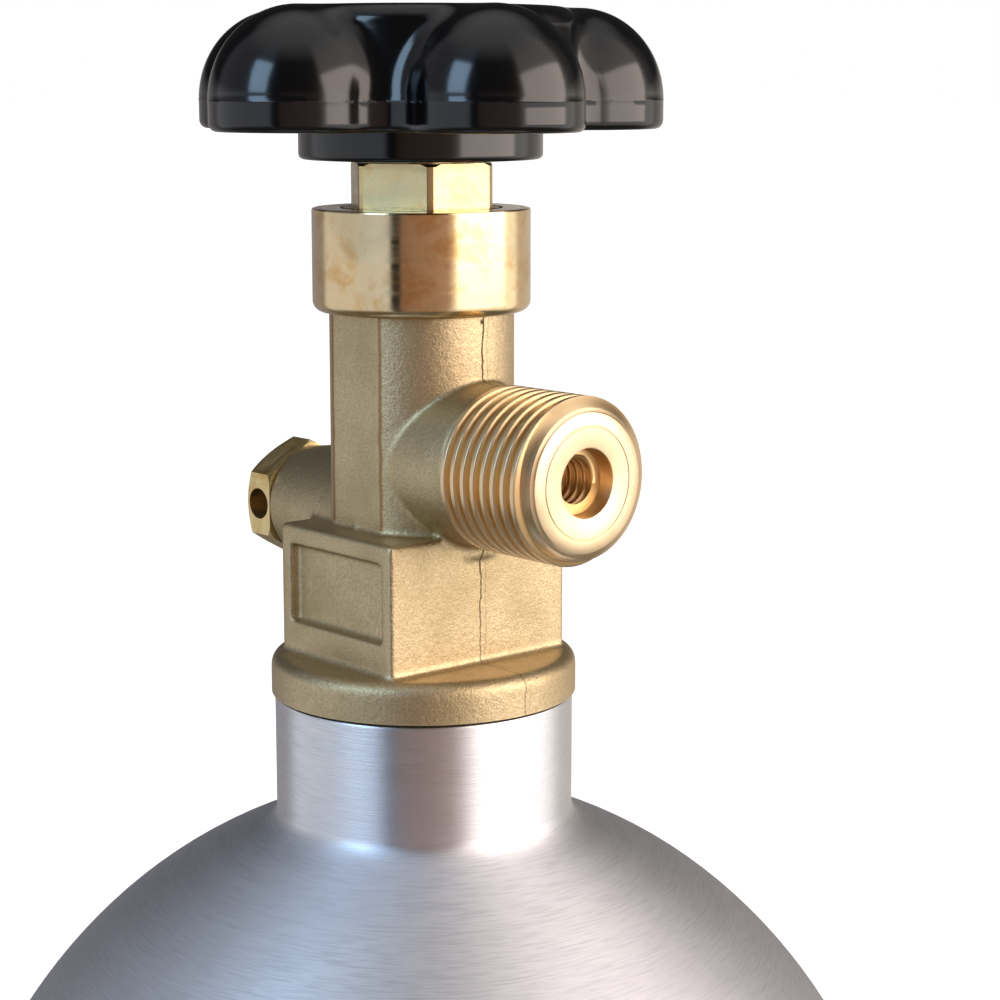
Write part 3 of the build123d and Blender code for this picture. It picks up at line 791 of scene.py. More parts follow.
@dataclass(frozen=True)
class Thread:
    """A helical thread, cut into the rows of points that a turned piece has at its radius."""

    radius: float
    pitch: float
    depth: float
    climb: int = 1  # which way the helix climbs, 1 or -1
    inside: bool = False  # whether it is cut into a hole
    slack: float = 0.0
    flank: Range = (0.08, 0.64)  # flat at the root and width of a flank, as shares of half the pitch

    def rows(self, start: float, end: float, count: int) -> Profile:
        """Returns rows of points between two heights, close enough together for the flanks."""
        return [(self.radius, start + (end - start) * i / count) for i in range(count + 1)]

    def shape(self, angle: float, distance: float, height: float) -> float:
        """Cuts the thread.

        Args:
            angle: angle about the piece's axis in radians.
            distance: distance from it in mm.
            height: height along it in mm.

        Returns:
            The new distance in mm, which is the old one away from the thread's radius.
        """
        if abs(distance - self.radius) >= SAME:
            return distance
        phase = height / self.pitch + self.climb * angle / (2 * pi)
        triangle = 1 - abs(2 * (phase % 1.0) - 1)
        share = min(1.0, max(0.0, (triangle - self.flank[0]) / self.flank[1]))
        crest = share * share * (3 - 2 * share)
        return distance - self.depth * (crest if self.inside else 1 - crest) - self.slack


@dataclass
class GasCylinder:
    """The spun aluminium cylinder: base with a foot ring, straight wall, shoulder and machined neck."""

    collar_z: float
    radius: float = 66.675
    wall: float = 6.2
    base: float = 12.0
    foot_corner: float = 16.0
    base_corner: float = 20.0
    dish_r: float = 38.0
    dish_depth: float = 2.5
    dome_height: float = 72.94
    shoulder_r: float = 20.3
    shoulder_drop: float = 17.9
    neck_r: float = 19.5
    neck_gap: float = 0.3
    inlet_r: float = 14.2875
    gland_r: float = 18.2
    gland_drop: float = 3.3
    inner_rise: float = 1.5  # how much lower than the wall's thickness the inner dome is
    crease_r: float = 2.6  # where the shoulder ends, beyond the neck's radius
    # the soft crease between shoulder and neck, beyond the neck's radius and over the shoulder's line
    crease: Points = ((1.8, -0.25), (1.1, 0.2), (0.55, 0.8), (0.2, 1.5), (0.04, 2.2), (0.0, 2.8))
    lip: Points = ((0.0, -0.4), (-0.1, -0.12), (-0.4, 0.0))
    dish_edge: Points = ((-8, 2.5), (-2, 0.9), (0.0, 0.15), (0.8, 0.0))

    def profile(self) -> Profile:
        """Returns the wall's whole outline, outside first, from the axis back to the axis."""
        shoulder_z = self.collar_z - self.shoulder_drop
        rise = self.dome_height * sqrt(1 - (self.shoulder_r / self.radius) ** 2)
        centre_z = shoulder_z - rise
        inner_r, inner_dome = self.radius - self.wall, self.dome_height - self.wall - self.inner_rise
        throat = acos(self.inlet_r / inner_r)
        top = self.collar_z - self.neck_gap
        gland_z = self.collar_z - self.gland_drop
        foot_r, floor_r = self.radius - self.foot_corner, inner_r - self.base_corner
        return [
            (0, self.dish_depth), *moved(self.dish_edge, self.dish_r, 0.0), (foot_r, 0),
            *arc(foot_r, self.foot_corner, self.foot_corner, -90, 0, 16),
            *oval(centre_z, self.radius, self.dome_height, 0.0, acos((self.neck_r + self.crease_r) / self.radius)),
            *moved(self.crease, self.neck_r, shoulder_z), *moved(self.lip, self.neck_r, top),
            (self.gland_r, top), (self.gland_r, gland_z), (self.inlet_r, gland_z),
            *oval(centre_z, inner_r, inner_dome, throat, 0.0),
            *arc(floor_r, self.base + self.base_corner, self.base_corner, 0, -90, 12),
            (0, self.base),
        ]

    def build(self) -> None:
        """Turns the cylinder and dresses it."""
        shell = Workbench.lathe("cylinder_wall", self.profile(), steps=256)
        finish = BrushedAluminium(shoulder_z=(self.collar_z - self.shoulder_drop) * MM)
        Workbench.dress(shell, "cylinder", "brushed_aluminium", finish, 25, ["cylinder_shell"])


@dataclass
class ValveForging:
    """The valve's hot forging: collar, block with two recessed panels, flatted column and two bosses."""

    collar_z: float
    outlet_rise: float = 30.97
    relief_rise: float = 21.75
    collar_r: float = 19.95
    collar_height: float = 5.24
    block_x: float = 29.18
    block_y: float = 22.8
    block_top: float = 22.2
    panel_y: float = 18.5
    panel_height: float = 10.2
    panel_depth: float = 1.25
    panel_rise: float = 14.55
    column_r: float = 11.86
    column_flats: float = 21.7
    column_top: float = 52.0
    spigot_r: float = 10.38
    spigot_end: float = 16.3
    relief_root_r: float = 11.1
    relief_end_r: float = 7.4
    relief_end: float = 23.9
    relief_edge: Points = ((0.15, -0.4), (-0.3, 0.0))
    spigot_edge: Points = ((-0.15, -0.5), (-0.5, 0.0))
    spigot_taper: float = 13.0
    collar_edge: float = 1.6
    collar_spare: float = 1.5  # stock under the collar, faced off later
    block_edge: float = 0.5
    sunk: float = 2.0  # how deep the block starts in the collar
    column_sunk: float = 3.0
    voxel: float = 0.33
    skin_passes: int = 7
    # bores, by the distance from their axis and the height over the collar or the distance from the stem's axis
    chamber: Points = (
        (0, -2), (5.5, -2), (5.5, 23.5),  # inlet
        (2.6, 23.5), (2.6, 27.0),  # throat
        (3.4, 27.0), (3.8, 26.2),  # raised rim of the seat
        (7.2, 26.2), (7.2, 50.5),  # stem chamber
        (10.0, 50.5), (10.0, 54), (0, 54),  # gland thread
    )
    outlet_bore: Spot = (2.4, 6.0, 18.0)  # radius, start and end
    relief_bore: Points = ((0, 4.5), (2.5, 4.5), (2.5, 14.5), (5.0, 14.5), (5.0, 25.0), (0, 25.0))

    def collar(self) -> Piece:
        """Returns the round collar with its spare stock."""
        foot, r, edge = self.collar_z - self.collar_spare, self.collar_r, self.collar_edge
        top = self.collar_z + self.collar_height
        outline = [(0, foot), (r, foot), *arc(r - edge, top - edge, edge, 0, 90, 5), (0, top)]
        return Workbench.lathe("collar", outline)

    def block(self) -> Piece:
        """Returns the block with a recessed panel in each of its two sides."""
        z0, z1 = self.collar_z + self.sunk, self.collar_z + self.block_top
        size = (self.block_x, self.block_y, z1 - z0)
        body = Workbench.block("block", size, (0, 0, (z0 + z1) / 2), self.block_edge)
        for side in (1, -1):
            centre = (side * self.block_x / 2, 0, self.collar_z + self.panel_rise)
            recess = Workbench.block("recess", (2 * self.panel_depth, self.panel_y, self.panel_height), centre)
            Workbench.cut(body, recess)
        return body

    def column(self) -> Piece:
        """Returns the column with its two flats."""
        foot, top = self.collar_z + self.block_top - self.column_sunk, self.collar_z + self.column_top
        post = Workbench.lathe("column", rod(self.column_r, foot, top))
        width = (self.column_flats, 3 * self.column_r, top - foot + CLEAR)
        Workbench.cut(post, Workbench.block("flats", width, (0, 0, (foot + top) / 2)), Cut.KEEP_COMMON)
        return post

    def spigot(self) -> Piece:
        """Returns the outlet's forged root."""
        r, end = self.spigot_r, self.spigot_end
        outline = [(0, 0), (r, 0), (r, self.spigot_taper), *moved(self.spigot_edge, r, end), (0, end)]
        root = Workbench.lathe("spigot", outline)
        Workbench.put(root, TurningAxis.OUTLET.placement(self.collar_z + self.outlet_rise))
        return root

    def relief_boss(self) -> Piece:
        """Returns the drafted boss behind, which the pressure relief screws into."""
        end = moved(self.relief_edge, self.relief_end_r, self.relief_end)
        boss = Workbench.lathe("relief_boss", [(0, 0), (self.relief_root_r, 0), *end, (0, self.relief_end)])
        Workbench.put(boss, TurningAxis.RELIEF.placement(self.collar_z + self.relief_rise))
        return boss

    def drill(self, forging: Piece) -> None:
        """Bores the stem chamber, the outlet passage and the relief port."""
        z = self.collar_z
        tools = (
            (moved(self.chamber, 0, z), TurningAxis.STEM, 0.0),
            (rod(*self.outlet_bore), TurningAxis.OUTLET, z + self.outlet_rise),
            (self.relief_bore, TurningAxis.RELIEF, z + self.relief_rise),
        )
        for outline, axis, height in tools:
            tool = Workbench.lathe("drill", outline, steps=64)
            Workbench.put(tool, axis.placement(height))
            Workbench.cut(forging, tool)

    def build(self) -> None:
        """Forges the body out of its parts, faces its underside off, bores it and dresses it."""
        parts = [self.collar(), self.block(), self.column(), self.spigot(), self.relief_boss()]
        forging = Workbench.join("valve_forging", parts)
        Workbench.modify(forging, "REMESH", mode="VOXEL", voxel_size=self.voxel * MM)
        Workbench.modify(forging, "SMOOTH", factor=0.5, iterations=self.skin_passes)
        Workbench.face_off(forging, self.collar_z)
        self.drill(forging)
        finish = ForgedBrass(collar_z=self.collar_z * MM)
        Workbench.dress(forging, "cylinder", "forged_brass", finish, 50, ["valve_body"])


@dataclass
class ValveTurning:
    """The machined ends of the valve body: top ring, threaded outlet and threaded inlet shank."""

    collar_z: float
    body_top_z: float
    outlet_rise: float = 30.97
    ring_r: float = 13.95
    ring_rise: float = 49.6
    gland_thread_r: float = 10.0
    outlet_thread: Thread = Thread(10.4775, 25.4 / 14, 0.95)
    thread_start: float = 16.0
    thread_end: float = 29.75
    thread_rows: int = 230
    outlet_face: float = 31.1
    face_r: float = 8.65
    face_groove_r: float = 6.86
    counterbore_r: float = 4.235
    counterbore_depth: float = 2.2
    plug_thread: Thread = Thread(3.3, 1.27, 0.5, inside=True)
    plug_thread_depth: float = 11.0
    plug_rows: int = 96
    passage_r: float = 2.4
    passage_start: float = 14.0
    inlet_thread: Thread = Thread(14.2875, 25.4 / 12, 1.15, climb=-1, slack=0.05)
    inlet_rows: int = 120
    inlet_start: float = 4.0
    inlet_bore_r: float = 5.5
    shank_r: float = 13.0
    shank_drop: float = 23.5
    tip: float = 1.5  # the plain lead at the shank's end
    root: Points = ((9.0, 14.0), (9.0, 15.7), (9.45, 15.9))
    # edges of the ring, its bore, the seal face, its groove and the counterbore, from each one's radius and end
    ring_round: float = 1.4
    ring_under: Points = ((-1.5, 0.0), (-1.3, 0.04))
    ring_edge: Points = ((0.0, -0.3), (-0.08, -0.08), (-0.3, 0.0))
    bore_foot: Points = ((0.0, 1.6), (0.4, 0.0))
    bore_top: Points = ((0.5, 0.0), (0.0, -0.5))
    face_edge: Points = ((0.55, -0.42), (0.42, -0.30), (0.10, -0.22), (0.0, -0.10), (-0.12, 0.0))
    groove: Points = ((0.12, 0.0), (0.04, -0.09), (-0.04, -0.09), (-0.12, 0.0))
    counterbore_edge: Points = ((0.22, 0.0), (0.06, -0.06), (0.0, -0.22))
    counterbore_floor: Points = ((0.0, 0.25), (-0.2, 0.02))

    def ring(self) -> Piece:
        """Returns the turned ring that the gland nut screws into."""
        z0, z1, r, bore = self.collar_z + self.ring_rise, self.body_top_z, self.ring_r, self.gland_thread_r
        foot = moved(self.bore_foot, bore, z0)
        outline = [
            *foot, *moved(self.ring_under, r, z0),
            *arc(r - self.ring_round, z0 + self.ring_round, self.ring_round, -70, 0, 6),
            *moved(self.ring_edge, r, z1), *moved(self.bore_top, bore, z1), foot[0],
        ]
        return Workbench.lathe("turned_ring", outline, steps=192)

    def outlet(self) -> Piece:
        """Returns the threaded nose of the outlet with its seal face, counterbore and plug thread."""
        face, bore = self.outlet_face, self.plug_thread.radius
        plug_start, plug_end = face - self.counterbore_depth, face - self.plug_thread_depth
        outline = [
            (self.passage_r, self.passage_start), *self.root,
            *self.outlet_thread.rows(self.thread_start, self.thread_end, self.thread_rows),
            *moved(self.face_edge, self.face_r, face), *moved(self.groove, self.face_groove_r, face),
            *moved(self.counterbore_edge, self.counterbore_r, face),
            *moved(self.counterbore_floor, self.counterbore_r, plug_start), (bore + 0.2, plug_start + 0.01),
            *self.plug_thread.rows(plug_start, plug_end, self.plug_rows),
            (self.passage_r, plug_end - 0.6), (self.passage_r, self.passage_start),
        ]
        nose = Workbench.lathe("outlet_nose", outline, steps=192)
        for thread in (self.outlet_thread, self.plug_thread):
            Workbench.reshape(nose, thread.shape)
        Workbench.put(nose, TurningAxis.OUTLET.placement(self.collar_z + self.outlet_rise))
        return nose

    def shank(self) -> Piece:
        """Returns the inlet shank, screwed into the cylinder's neck."""
        top, foot = self.collar_z + 1.0, self.collar_z - self.shank_drop
        start, bore = self.collar_z - self.inlet_start, self.inlet_bore_r
        outline = [(bore, top), (self.shank_r, top), (self.shank_r, start + 0.8),
                   *self.inlet_thread.rows(start, foot + self.tip, self.inlet_rows),
                   (self.inlet_thread.radius - self.tip, foot), (bore, foot), (bore, top)]
        shank = Workbench.lathe("inlet_shank", outline)
        Workbench.reshape(shank, self.inlet_thread.shape)
        return shank

    def build(self) -> None:
        """Turns the three machined pieces and dresses them."""
        stem_finish = TurnedBrass()
        outlet_finish = TurnedBrass(
            "turned_brass_outlet", TurningAxis.OUTLET, self.collar_z + self.outlet_rise, colour="ecd4ae",
            stained_share=0.2, roughness=0.29, faced_at=self.outlet_face - 0.1,
        )
        Workbench.dress(self.ring(), "cylinder", "turned_brass", stem_finish, 30)
        Workbench.dress(self.outlet(), "cylinder", "turned_brass", outlet_finish, 44)
        Workbench.dress(self.shank(), "cylinder", "turned_brass", stem_finish, 30)


def hexagon_cutter(flats: float, start: float, end: float, turn: float) -> Piece:
    """A collar with a hexagonal hole, which mills six flats on a round bar.

    Args:
        flats: size across the flats in mm.
        start: height of its lower face in mm.
        end: height of its upper face in mm.
        turn: angle of one corner about Z in degrees.

    Returns:
        The cutter.
    """
    cutter = Workbench.lathe("mill", rod(2 * flats, start, end), steps=48)
    Workbench.cut(cutter, Workbench.prism("mill_hole", flats, start - CLEAR, end + CLEAR, turn))
    return cutter


@dataclass
class GlandNut:
    """The hexagon that closes the stem chamber, its corners turned down."""

    foot_z: float
    body_top_z: float
    top_z: float
    flats: float = 17.0
    corner_r: float = 9.5
    turn: float = 58.0
    thread_r: float = 9.95
    gap: float = 0.01  # between its hexagon and the ring
    rim: Points = ((0.0, -0.35), (-0.35, 0.0))
    mouth: Points = ((0.4, 0.0), (0.0, -0.4))
    skirt_bore_r: float = 8.5
    counterbore_z: float = 0.0
    stem_bore_r: float = 5.05
    edge: float = 0.14

    def build(self) -> None:
        """Turns the nut, mills its flats and dresses it."""
        foot, seat, top, skirt = self.foot_z, self.body_top_z, self.top_z, self.skirt_bore_r
        outline = [
            (skirt, foot), (self.thread_r, foot), (self.thread_r, seat), (self.corner_r, seat + self.gap),
            *moved(self.rim, self.corner_r, top), *moved(self.mouth, self.stem_bore_r, top),
            (self.stem_bore_r, self.counterbore_z), (skirt, self.counterbore_z), (skirt, foot),
        ]
        nut = Workbench.lathe("gland_hexagon", outline)
        Workbench.cut(nut, hexagon_cutter(self.flats, seat + 2 * self.gap, top + CLEAR, self.turn))
        Workbench.soften(nut, self.edge)
        finish = TurnedBrass("milled_brass_nut", colour="d2bf8e", roughness=0.2, patch=2.4, stained_share=0.4)
        Workbench.dress(nut, "cylinder", "turned_brass", finish, 30, ["gland_nut"])


@dataclass
class ReliefPlug:
    """The hexagonal plug behind, cross drilled to vent the burst disc."""

    relief_z: float
    shank_start: float
    flats: float = 14.5
    hex_start: float = 23.9
    hex_end: float = 29.5
    turn: float = 90.0
    spare: float = 0.02  # what the bar is turned over its corners
    below: float = 0.01  # how far below its foot the hexagon is milled
    foot_edge: Points = ((-0.5, 0.0), (0.0, 0.4))
    crown: float = 1.5  # height of the turned-down corners
    crown_edge: Points = ((-0.2, -0.45), (-0.9, 0.0))
    shank_r: float = 4.96
    bore_r: float = 2.2
    vent_at: float = 26.4
    vent_r: float = 2.1
    vent_half: float = 12.0
    edge: float = 0.16

    def build(self) -> None:
        """Turns the plug, mills it, drills the cross vent and dresses it."""
        corner, end = self.flats / sqrt(3) + self.spare, self.hex_end
        outline = [
            (self.bore_r, self.shank_start), (self.shank_r, self.shank_start), (self.shank_r, self.hex_start),
            *moved(self.foot_edge, corner, self.hex_start), (corner, end - self.crown),
            *moved(self.crown_edge, self.flats / 2, end), (0, end), (0, self.vent_at), (self.bore_r, self.vent_at),
            (self.bore_r, self.shank_start),
        ]
        plug = Workbench.lathe("relief_hexagon", outline)
        Workbench.cut(plug, hexagon_cutter(self.flats, self.hex_start - self.below, end + CLEAR, self.turn))
        vent = Workbench.lathe("vent", rod(self.vent_r, -self.vent_half, self.vent_half), steps=64)
        Workbench.put(vent, Matrix.Translation((0, 0, self.vent_at * MM)) @ Matrix.Rotation(pi / 2, 4, "Y"))
        Workbench.cut(plug, vent)
        Workbench.soften(plug, self.edge)
        Workbench.put(plug, TurningAxis.RELIEF.placement(self.relief_z))
        finish = TurnedBrass("milled_brass_plug", TurningAxis.RELIEF, self.relief_z, colour="dfc791",
                             stain="c09a50", roughness=0.3)
        Workbench.dress(plug, "cylinder", "turned_brass", finish, 30, ["relief_plug"])


@dataclass
class Handwheel:
    """The moulded wheel: five domed lobes round a core, a parting line, a hub and a nut pocket."""

    hub_z: float
    top_z: float
    lobes: int = 5
    lobe_ring_r: float = 20.27
    lobe_r: float = 10.89
    lobe_turn: float = 40.2
    valley_ring_r: float = 26.5
    core_top_r: float = 20.0
    core_edge: float = 2.5
    hub_r: float = 15.5
    hub_height: float = 3.7
    skirt_height: float = 3.65  # from the wheel's underside to the mould's parting line
    skirt_edge: float = 1.1
    pocket_r: float = 8.5
    pocket_depth: float = 6.65
    ferrule_r: float = 7.5
    ferrule_flange_r: float = 9.0
    outer: float = 32.0  # radius of the blank that the lobes are shaped from
    flash: float = 0.05
    flash_half: float = 0.02
    hub_edge: float = 0.7
    mouth_edge: float = 0.8  # rounding of the pocket's mouth
    flange: float = 1.2  # thickness of the ferrule's flange
    flange_drop: float = 0.8
    skirt_rows: Points = ((0.0, -0.8), (0.0, -0.12), (0.0, 0.0), (0.0, 0.12))  # about the parting line

    @property
    def mouth_r(self) -> float:
        """Radius of the pocket's rounded mouth."""
        return self.pocket_r + self.mouth_edge

    @property
    def foot_z(self) -> float:
        """Height of the wheel's underside."""
        return self.hub_z + self.hub_height

    @property
    def parting_z(self) -> float:
        """Height of the parting line."""
        return self.foot_z + self.skirt_height

    @property
    def valley_r(self) -> float:
        """Radius of the hollows between lobes, which touch both lobes."""
        half_pitch = pi / self.lobes
        apart = sqrt(self.lobe_ring_r ** 2 + self.valley_ring_r ** 2
                     - 2 * self.lobe_ring_r * self.valley_ring_r * cos(half_pitch))
        return apart - self.lobe_r

    def outline(self, angle: float, lobe: float, core: float) -> float:
        """The wheel's distance from its axis, in plan: lobe, hollow or core.

        Args:
            angle: angle from the nearest lobe's middle, in radians.
            lobe: the lobe's radius at this height, in mm.
            core: the core's radius at this height, in mm.

        Returns:
            The distance in mm.
        """
        hollow, ring = self.valley_r, self.lobe_ring_r
        reach = core + hollow
        share = (ring ** 2 + reach ** 2 - (lobe + hollow) ** 2) / (2 * ring * reach)
        middle = acos(max(-1.0, min(1.0, share)))
        # where the lobe hands over to the hollow
        t = lobe / (lobe + hollow)
        touch = atan2(t * reach * sin(middle), ring + t * (reach * cos(middle) - ring))
        if angle <= touch:
            return ring * cos(angle) + sqrt(max(0.0, lobe ** 2 - (ring * sin(angle)) ** 2))
        if angle < middle:
            off = middle - angle
            return reach * cos(off) - sqrt(max(0.0, hollow ** 2 - (reach * sin(off)) ** 2))
        return core

    def rule(self, angle: float, distance: float, height: float) -> float:
        """Shapes the round blank into the lobed wheel.

        Args:
            angle: angle about the stem in radians.
            distance: distance from the stem in mm.
            height: height in mm.

        Returns:
            The new distance in mm.
        """
        over, edge = height - self.parting_z, self.skirt_edge
        inner = self.hub_r if over < 0 else self.mouth_r
        if height < self.foot_z - SAME or distance <= inner + SAME:
            return distance
        pitch = 2 * pi / self.lobes
        nearest = abs((angle - radians(self.lobe_turn) + pitch / 2) % pitch - pitch / 2)
        lift = min(1.0, max(0.0, over / (self.top_z - self.parting_z)))
        lobe = self.lobe_r * sqrt(max(0.0, 1 - lift ** 2))
        # the core tapers from the hollows' floor to the crown, and has a rounded edge there
        edge_z = self.top_z - self.core_edge
        floor = self.valley_ring_r - self.valley_r
        core = floor + (self.core_top_r - floor) * min(1.0, max(0.0, over) / (edge_z - self.parting_z))
        if height > edge_z:
            core = self.core_top_r - self.core_edge + sqrt(max(0.0, self.core_edge ** 2 - (height - edge_z) ** 2))
        rim = self.outline(nearest, lobe, core)
        tuck = max(0.0, self.foot_z + edge - height)
        rim -= edge - sqrt(max(0.0, edge ** 2 - tuck ** 2))
        if abs(over) < self.flash_half:
            rim += self.flash
        return inner + (rim - inner) * (distance - inner) / (self.outer - inner)

    def blank(self) -> Profile:
        """Returns the outline of the round blank, with a row of points at each height the lobes need."""
        foot, parting, top, outer = self.foot_z, self.parting_z, self.top_z, self.outer
        hub, mouth, flange = self.hub_r, self.mouth_r, top - self.pocket_depth - self.flange_drop
        under = [(hub + (outer - hub) * i / 6, foot) for i in range(6)]
        skirt = [(outer, foot + self.skirt_edge * (1 - cos(radians(15 * i)))) for i in range(7)]
        domes = [(outer, parting + (top - parting) * sin(pi / 2 * i / 44)) for i in range(2, 45)]
        crown = [(outer - (outer - mouth) * i / 14, top) for i in range(1, 15)]
        return [
            (self.ferrule_r, self.hub_z), (hub - self.hub_edge, self.hub_z),
            *arc(hub - self.hub_edge, self.hub_z + self.hub_edge, self.hub_edge, -75, 0, 5), (hub, foot - 0.3),
            *under, *skirt, *moved(self.skirt_rows, outer, parting), *domes, *crown,
            *arc(mouth, top - self.mouth_edge, self.mouth_edge, 105, 180, 5),
            (self.pocket_r, flange), (self.ferrule_flange_r, flange),
            (self.ferrule_flange_r, flange - self.flange), (self.ferrule_r, flange - self.flange),
            (self.ferrule_r, self.hub_z),
        ]

    def build(self) -> None:
        """Turns the blank, shapes the lobes and dresses the wheel."""
        wheel = Workbench.lathe("lobed_handwheel", self.blank(), steps=360)
        Workbench.reshape(wheel, self.rule)
        Workbench.dress(wheel, "stem", "phenolic", Phenolic(parting_z=self.parting_z * MM), 40, ["handwheel"])


@dataclass
class InnerParts:
    """The frame's own pieces that stay as they are and only need their finish."""

    nodes: dict
    finishes: dict = field(default_factory=lambda: {
        RUBBER: ("neck_o_ring", "stem_o_ring_lower", "stem_o_ring_upper"),
        POLYMER: ("seat_insert", "thrust_washer", "stem_backup_ring", "gland_gasket", "relief_gasket"),
        COPPER: ("rupture_disc",),
        TurnedBrass(): ("relief_slip_ring", "seat_plug", "upper_stem", "wheel_ferrule"),
        PLATED_STEEL: ("wheel_washer", "wheel_lock_nut"),
    })

    def build(self) -> None:
        """Gives each piece its finish."""
        for finish, names in self.finishes.items():
            for name in names:
                materials = self.nodes[name].data.materials
                materials.clear()
                materials.append(finish.material())
                LOG.info("%s keeps its shape and gets %s", name, finish.name)


# ---- Stage ----------------------------------------------------------------------------
@dataclass(frozen=True)
class Softbox:
    """A rectangular light, placed by its direction from the valve as the camera sees it."""

    name: str
    bearing: float  # degrees to the right of the camera, seen from the valve
    rise: float  # degrees above the horizon
    width: float  # degrees
    height: float  # degrees
    brightness: Colour


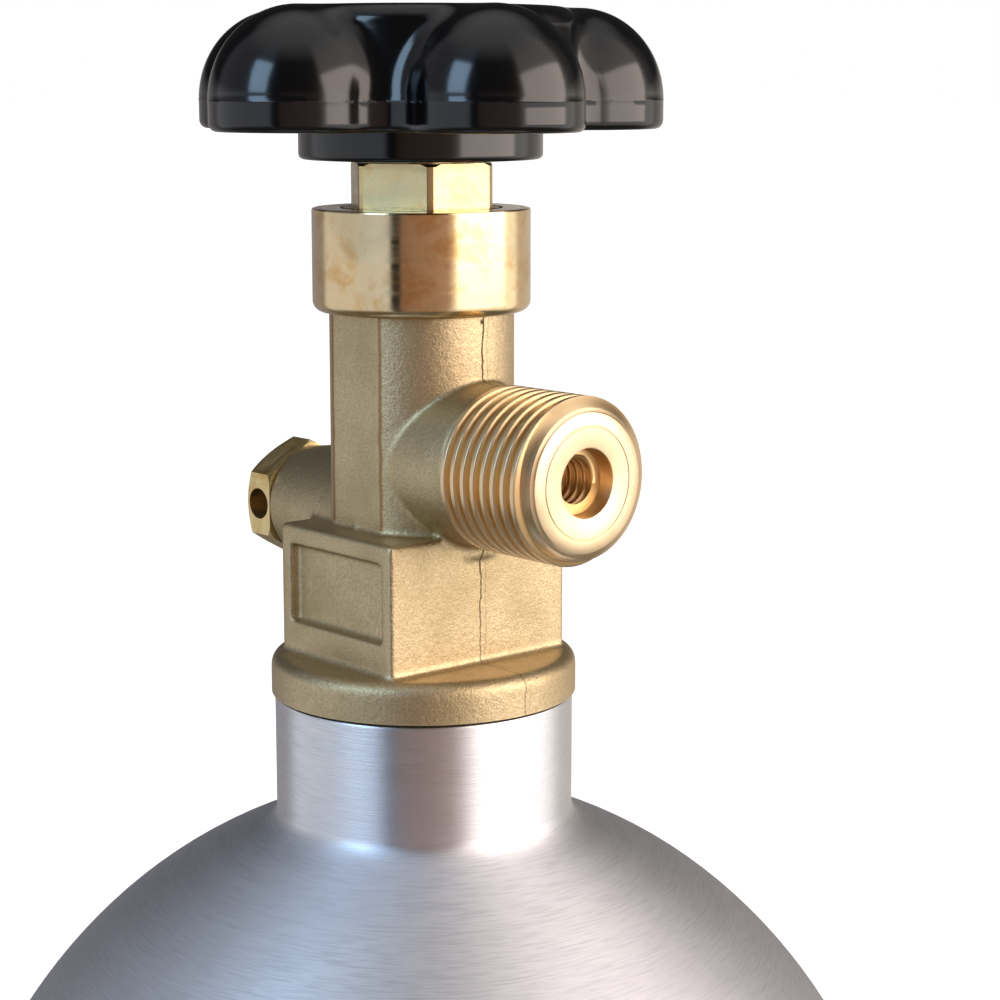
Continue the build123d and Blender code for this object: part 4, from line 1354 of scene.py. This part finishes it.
@dataclass
class Studio:
    """Camera, lights, surroundings and floor."""

    target_z: float = 0.43
    camera_at: Spot = (-0.19452, -0.23604, 0.45375)
    heading: float = 48.63  # degrees about +Z from +X
    dip: float = 9.995
    lens: float = 86.0
    away: float = 2.2
    floor_size: float = 80.0
    softboxes: tuple[Softbox, ...] = (
        Softbox("key_softbox", 67, 14, 62, 38, (3.3, 2.75, 2.5)),
        Softbox("window_fill", -51, 25, 24, 32, (2.6, 3.9, 5.4)),
    )
    # bearing in degrees and linear colour of the room, from behind left to behind right
    low_room: Stops = (
        (-180, (0.34, 0.32, 0.33)), (-126, (0.34, 0.32, 0.33)), (-118, (0.78, 0.80, 0.84)),
        (-70, (0.78, 0.80, 0.84)), (-62, (0.72, 0.77, 0.86)), (-34, (0.74, 0.80, 0.92)),
        (-31, (0.03, 0.03, 0.03)), (-23, (0.03, 0.03, 0.03)), (-21, (0.31, 0.20, 0.16)),
        (29, (0.50, 0.34, 0.29)), (38, (1.45, 1.40, 1.33)), (114, (1.45, 1.40, 1.33)),
        (122, (0.70, 0.63, 0.56)), (180, (0.60, 0.56, 0.52)),
    )
    high_room: Stops = (
        (-180, (0.03, 0.03, 0.03)), (-126, (0.03, 0.03, 0.03)), (-116, (0.28, 0.28, 0.31)),
        (-68, (0.28, 0.28, 0.31)), (-62, (0.30, 0.38, 0.50)), (-38, (0.30, 0.38, 0.50)),
        (-34, (0.04, 0.04, 0.04)), (28, (0.09, 0.075, 0.06)), (36, (1.15, 1.08, 1.0)),
        (98, (1.15, 1.08, 1.0)), (110, (0.3, 0.28, 0.26)), (130, (0.05, 0.05, 0.05)),
        (180, (0.03, 0.03, 0.03)),
    )
    ceiling: Colour = (0.72, 0.70, 0.70)
    ground: Colour = (0.16, 0.15, 0.13)
    # sines of the rise between which one level of the room fades into the next
    horizon: Range = (0.04, 0.18)
    overhead: Range = (0.70, 0.95)
    downward: Range = (-0.38, -0.62)

    def camera(self) -> None:
        """Places the camera."""
        data = bpy.data.cameras.new("camera")
        data.lens, data.sensor_width, data.clip_start = self.lens, 36.0, 0.01
        camera = bpy.data.objects.new("camera", data)
        bpy.context.scene.collection.objects.link(camera)
        heading, dip = radians(self.heading), radians(self.dip)
        ahead = Vector((cos(heading) * cos(dip), sin(heading) * cos(dip), -sin(dip)))
        camera.location = self.camera_at
        camera.rotation_euler = ahead.to_track_quat("-Z", "Y").to_euler()
        bpy.context.scene.camera = camera

    def towards(self, bearing: float, rise: float) -> Vector:
        """Returns the direction from the valve at a bearing from the camera and a rise, in degrees."""
        turn, up = radians(self.camera_bearing + bearing), radians(rise)
        return Vector((cos(turn) * cos(up), sin(turn) * cos(up), sin(up)))

    @property
    def camera_bearing(self) -> float:
        """Angle of the camera about +Z as seen from the stem, in degrees."""
        return degrees(atan2(self.camera_at[1], self.camera_at[0]))

    def lights(self) -> None:
        """Hangs the softboxes."""
        for box in self.softboxes:
            data = bpy.data.lights.new(box.name, "AREA")
            data.shape = "RECTANGLE"
            data.size = 2 * self.away * tan(radians(box.width / 2))
            data.size_y = 2 * self.away * tan(radians(box.height / 2))
            peak = max(box.brightness)
            data.energy = peak * pi * data.size * data.size_y
            data.color = [b / peak for b in box.brightness]
            lamp = bpy.data.objects.new(box.name, data)
            bpy.context.scene.collection.objects.link(lamp)
            out = self.towards(box.bearing, box.rise)
            lamp.location = Vector((0, 0, self.target_z)) + out * self.away
            lamp.rotation_euler = out.to_track_quat("Z", "Y").to_euler()
            lamp.visible_camera = False
            LOG.info("%s hung", box.name)

    def surroundings(self) -> None:
        """Wraps a plain room of soft bands round the valve, and shows the camera white."""
        world = bpy.data.worlds.new("studio")
        bpy.context.scene.world = world
        world.use_nodes = True
        room = Nodes(world.node_tree)
        place = room.add("TexCoord").outputs["Generated"]
        turned = room.add("Mapping", {"Rotation": (0, 0, radians(-self.camera_bearing))}, {"Vector": place})
        bearing = room.add("TexGradient", {"gradient_type": "RADIAL"}, {"Vector": turned.outputs[0]}).outputs[1]
        low, high = (self.band(room, bearing, stops) for stops in (self.low_room, self.high_room))
        up = room.part(place, "Z")
        walls = room.blend(room.fade(up, *self.horizon), low, high)
        lower = room.blend(room.fade(up, *self.downward), walls, self.ground)
        around = room.blend(room.fade(up, *self.overhead), lower, self.ceiling)
        shown = room.blend(room.add("LightPath").outputs["Is Camera Ray"], around, WHITE)
        glow = room.add("Background", links={"Color": shown})
        room.add("OutputWorld", links={"Surface": glow.outputs[0]})

    @staticmethod
    def band(room: Nodes, bearing: Socket, stops: Stops) -> Socket:
        """Adds the colours of the room at one level.

        Args:
            room: the world's nodes.
            bearing: share of a turn, from behind left.
            stops: bearings in degrees and their linear colours.

        Returns:
            The colour in the direction of the bearing.
        """
        ramp = room.add("ValToRGB", links={0: bearing})
        elements = ramp.color_ramp.elements
        while len(elements) < len(stops):
            elements.new(0.5)
        for element, (degrees_round, colour) in zip(elements, stops):
            element.position = degrees_round / 360 + 0.5
            element.color = (*colour, 1)
        return ramp.outputs[0]

    def floor(self) -> None:
        """Lays a plain pale floor that the metal doesn't mirror."""
        floor = Workbench.start("studio_floor", "plane", size=self.floor_size)
        recipe = Recipe("pale_floor", {"Base Color": linear("f2f2f2"), "Roughness": 0.9,
                                       "Emission Color": (*WHITE, 1), "Emission Strength": 0.7})
        floor.data.materials.append(recipe.material)
        floor.visible_glossy = floor.visible_diffuse = False

    def build(self) -> None:
        """Sets the stage."""
        self.camera()
        self.lights()
        self.surroundings()
        self.floor()
        bpy.context.scene.view_settings.view_transform = "Standard"


def main(frame: dict) -> None:
    """Builds the sub-assemblies in order.
    """
    collar_z, body_top_z = top_of("neck_o_ring"), top_of("valve_body")
    Studio().build()
    GasCylinder(collar_z).build()
    ValveForging(collar_z).build()
    ValveTurning(collar_z, body_top_z).build()
    GlandNut(foot_of("gland_nut"), body_top_z, top_of("gland_nut"), counterbore_z=top_of("thrust_washer")).build()
    relief_low, relief_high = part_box("relief_plug")
    ReliefPlug((relief_low.z + relief_high.z) / 2 / MM, relief_low.y / MM).build()
    Handwheel(foot_of("handwheel"), top_of("handwheel")).build()
    InnerParts(frame["nodes"]).build()


if __name__ == "__main__":
    logging.basicConfig(level=logging.INFO, format="%(name)s: %(message)s")
    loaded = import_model()
    main(loaded)
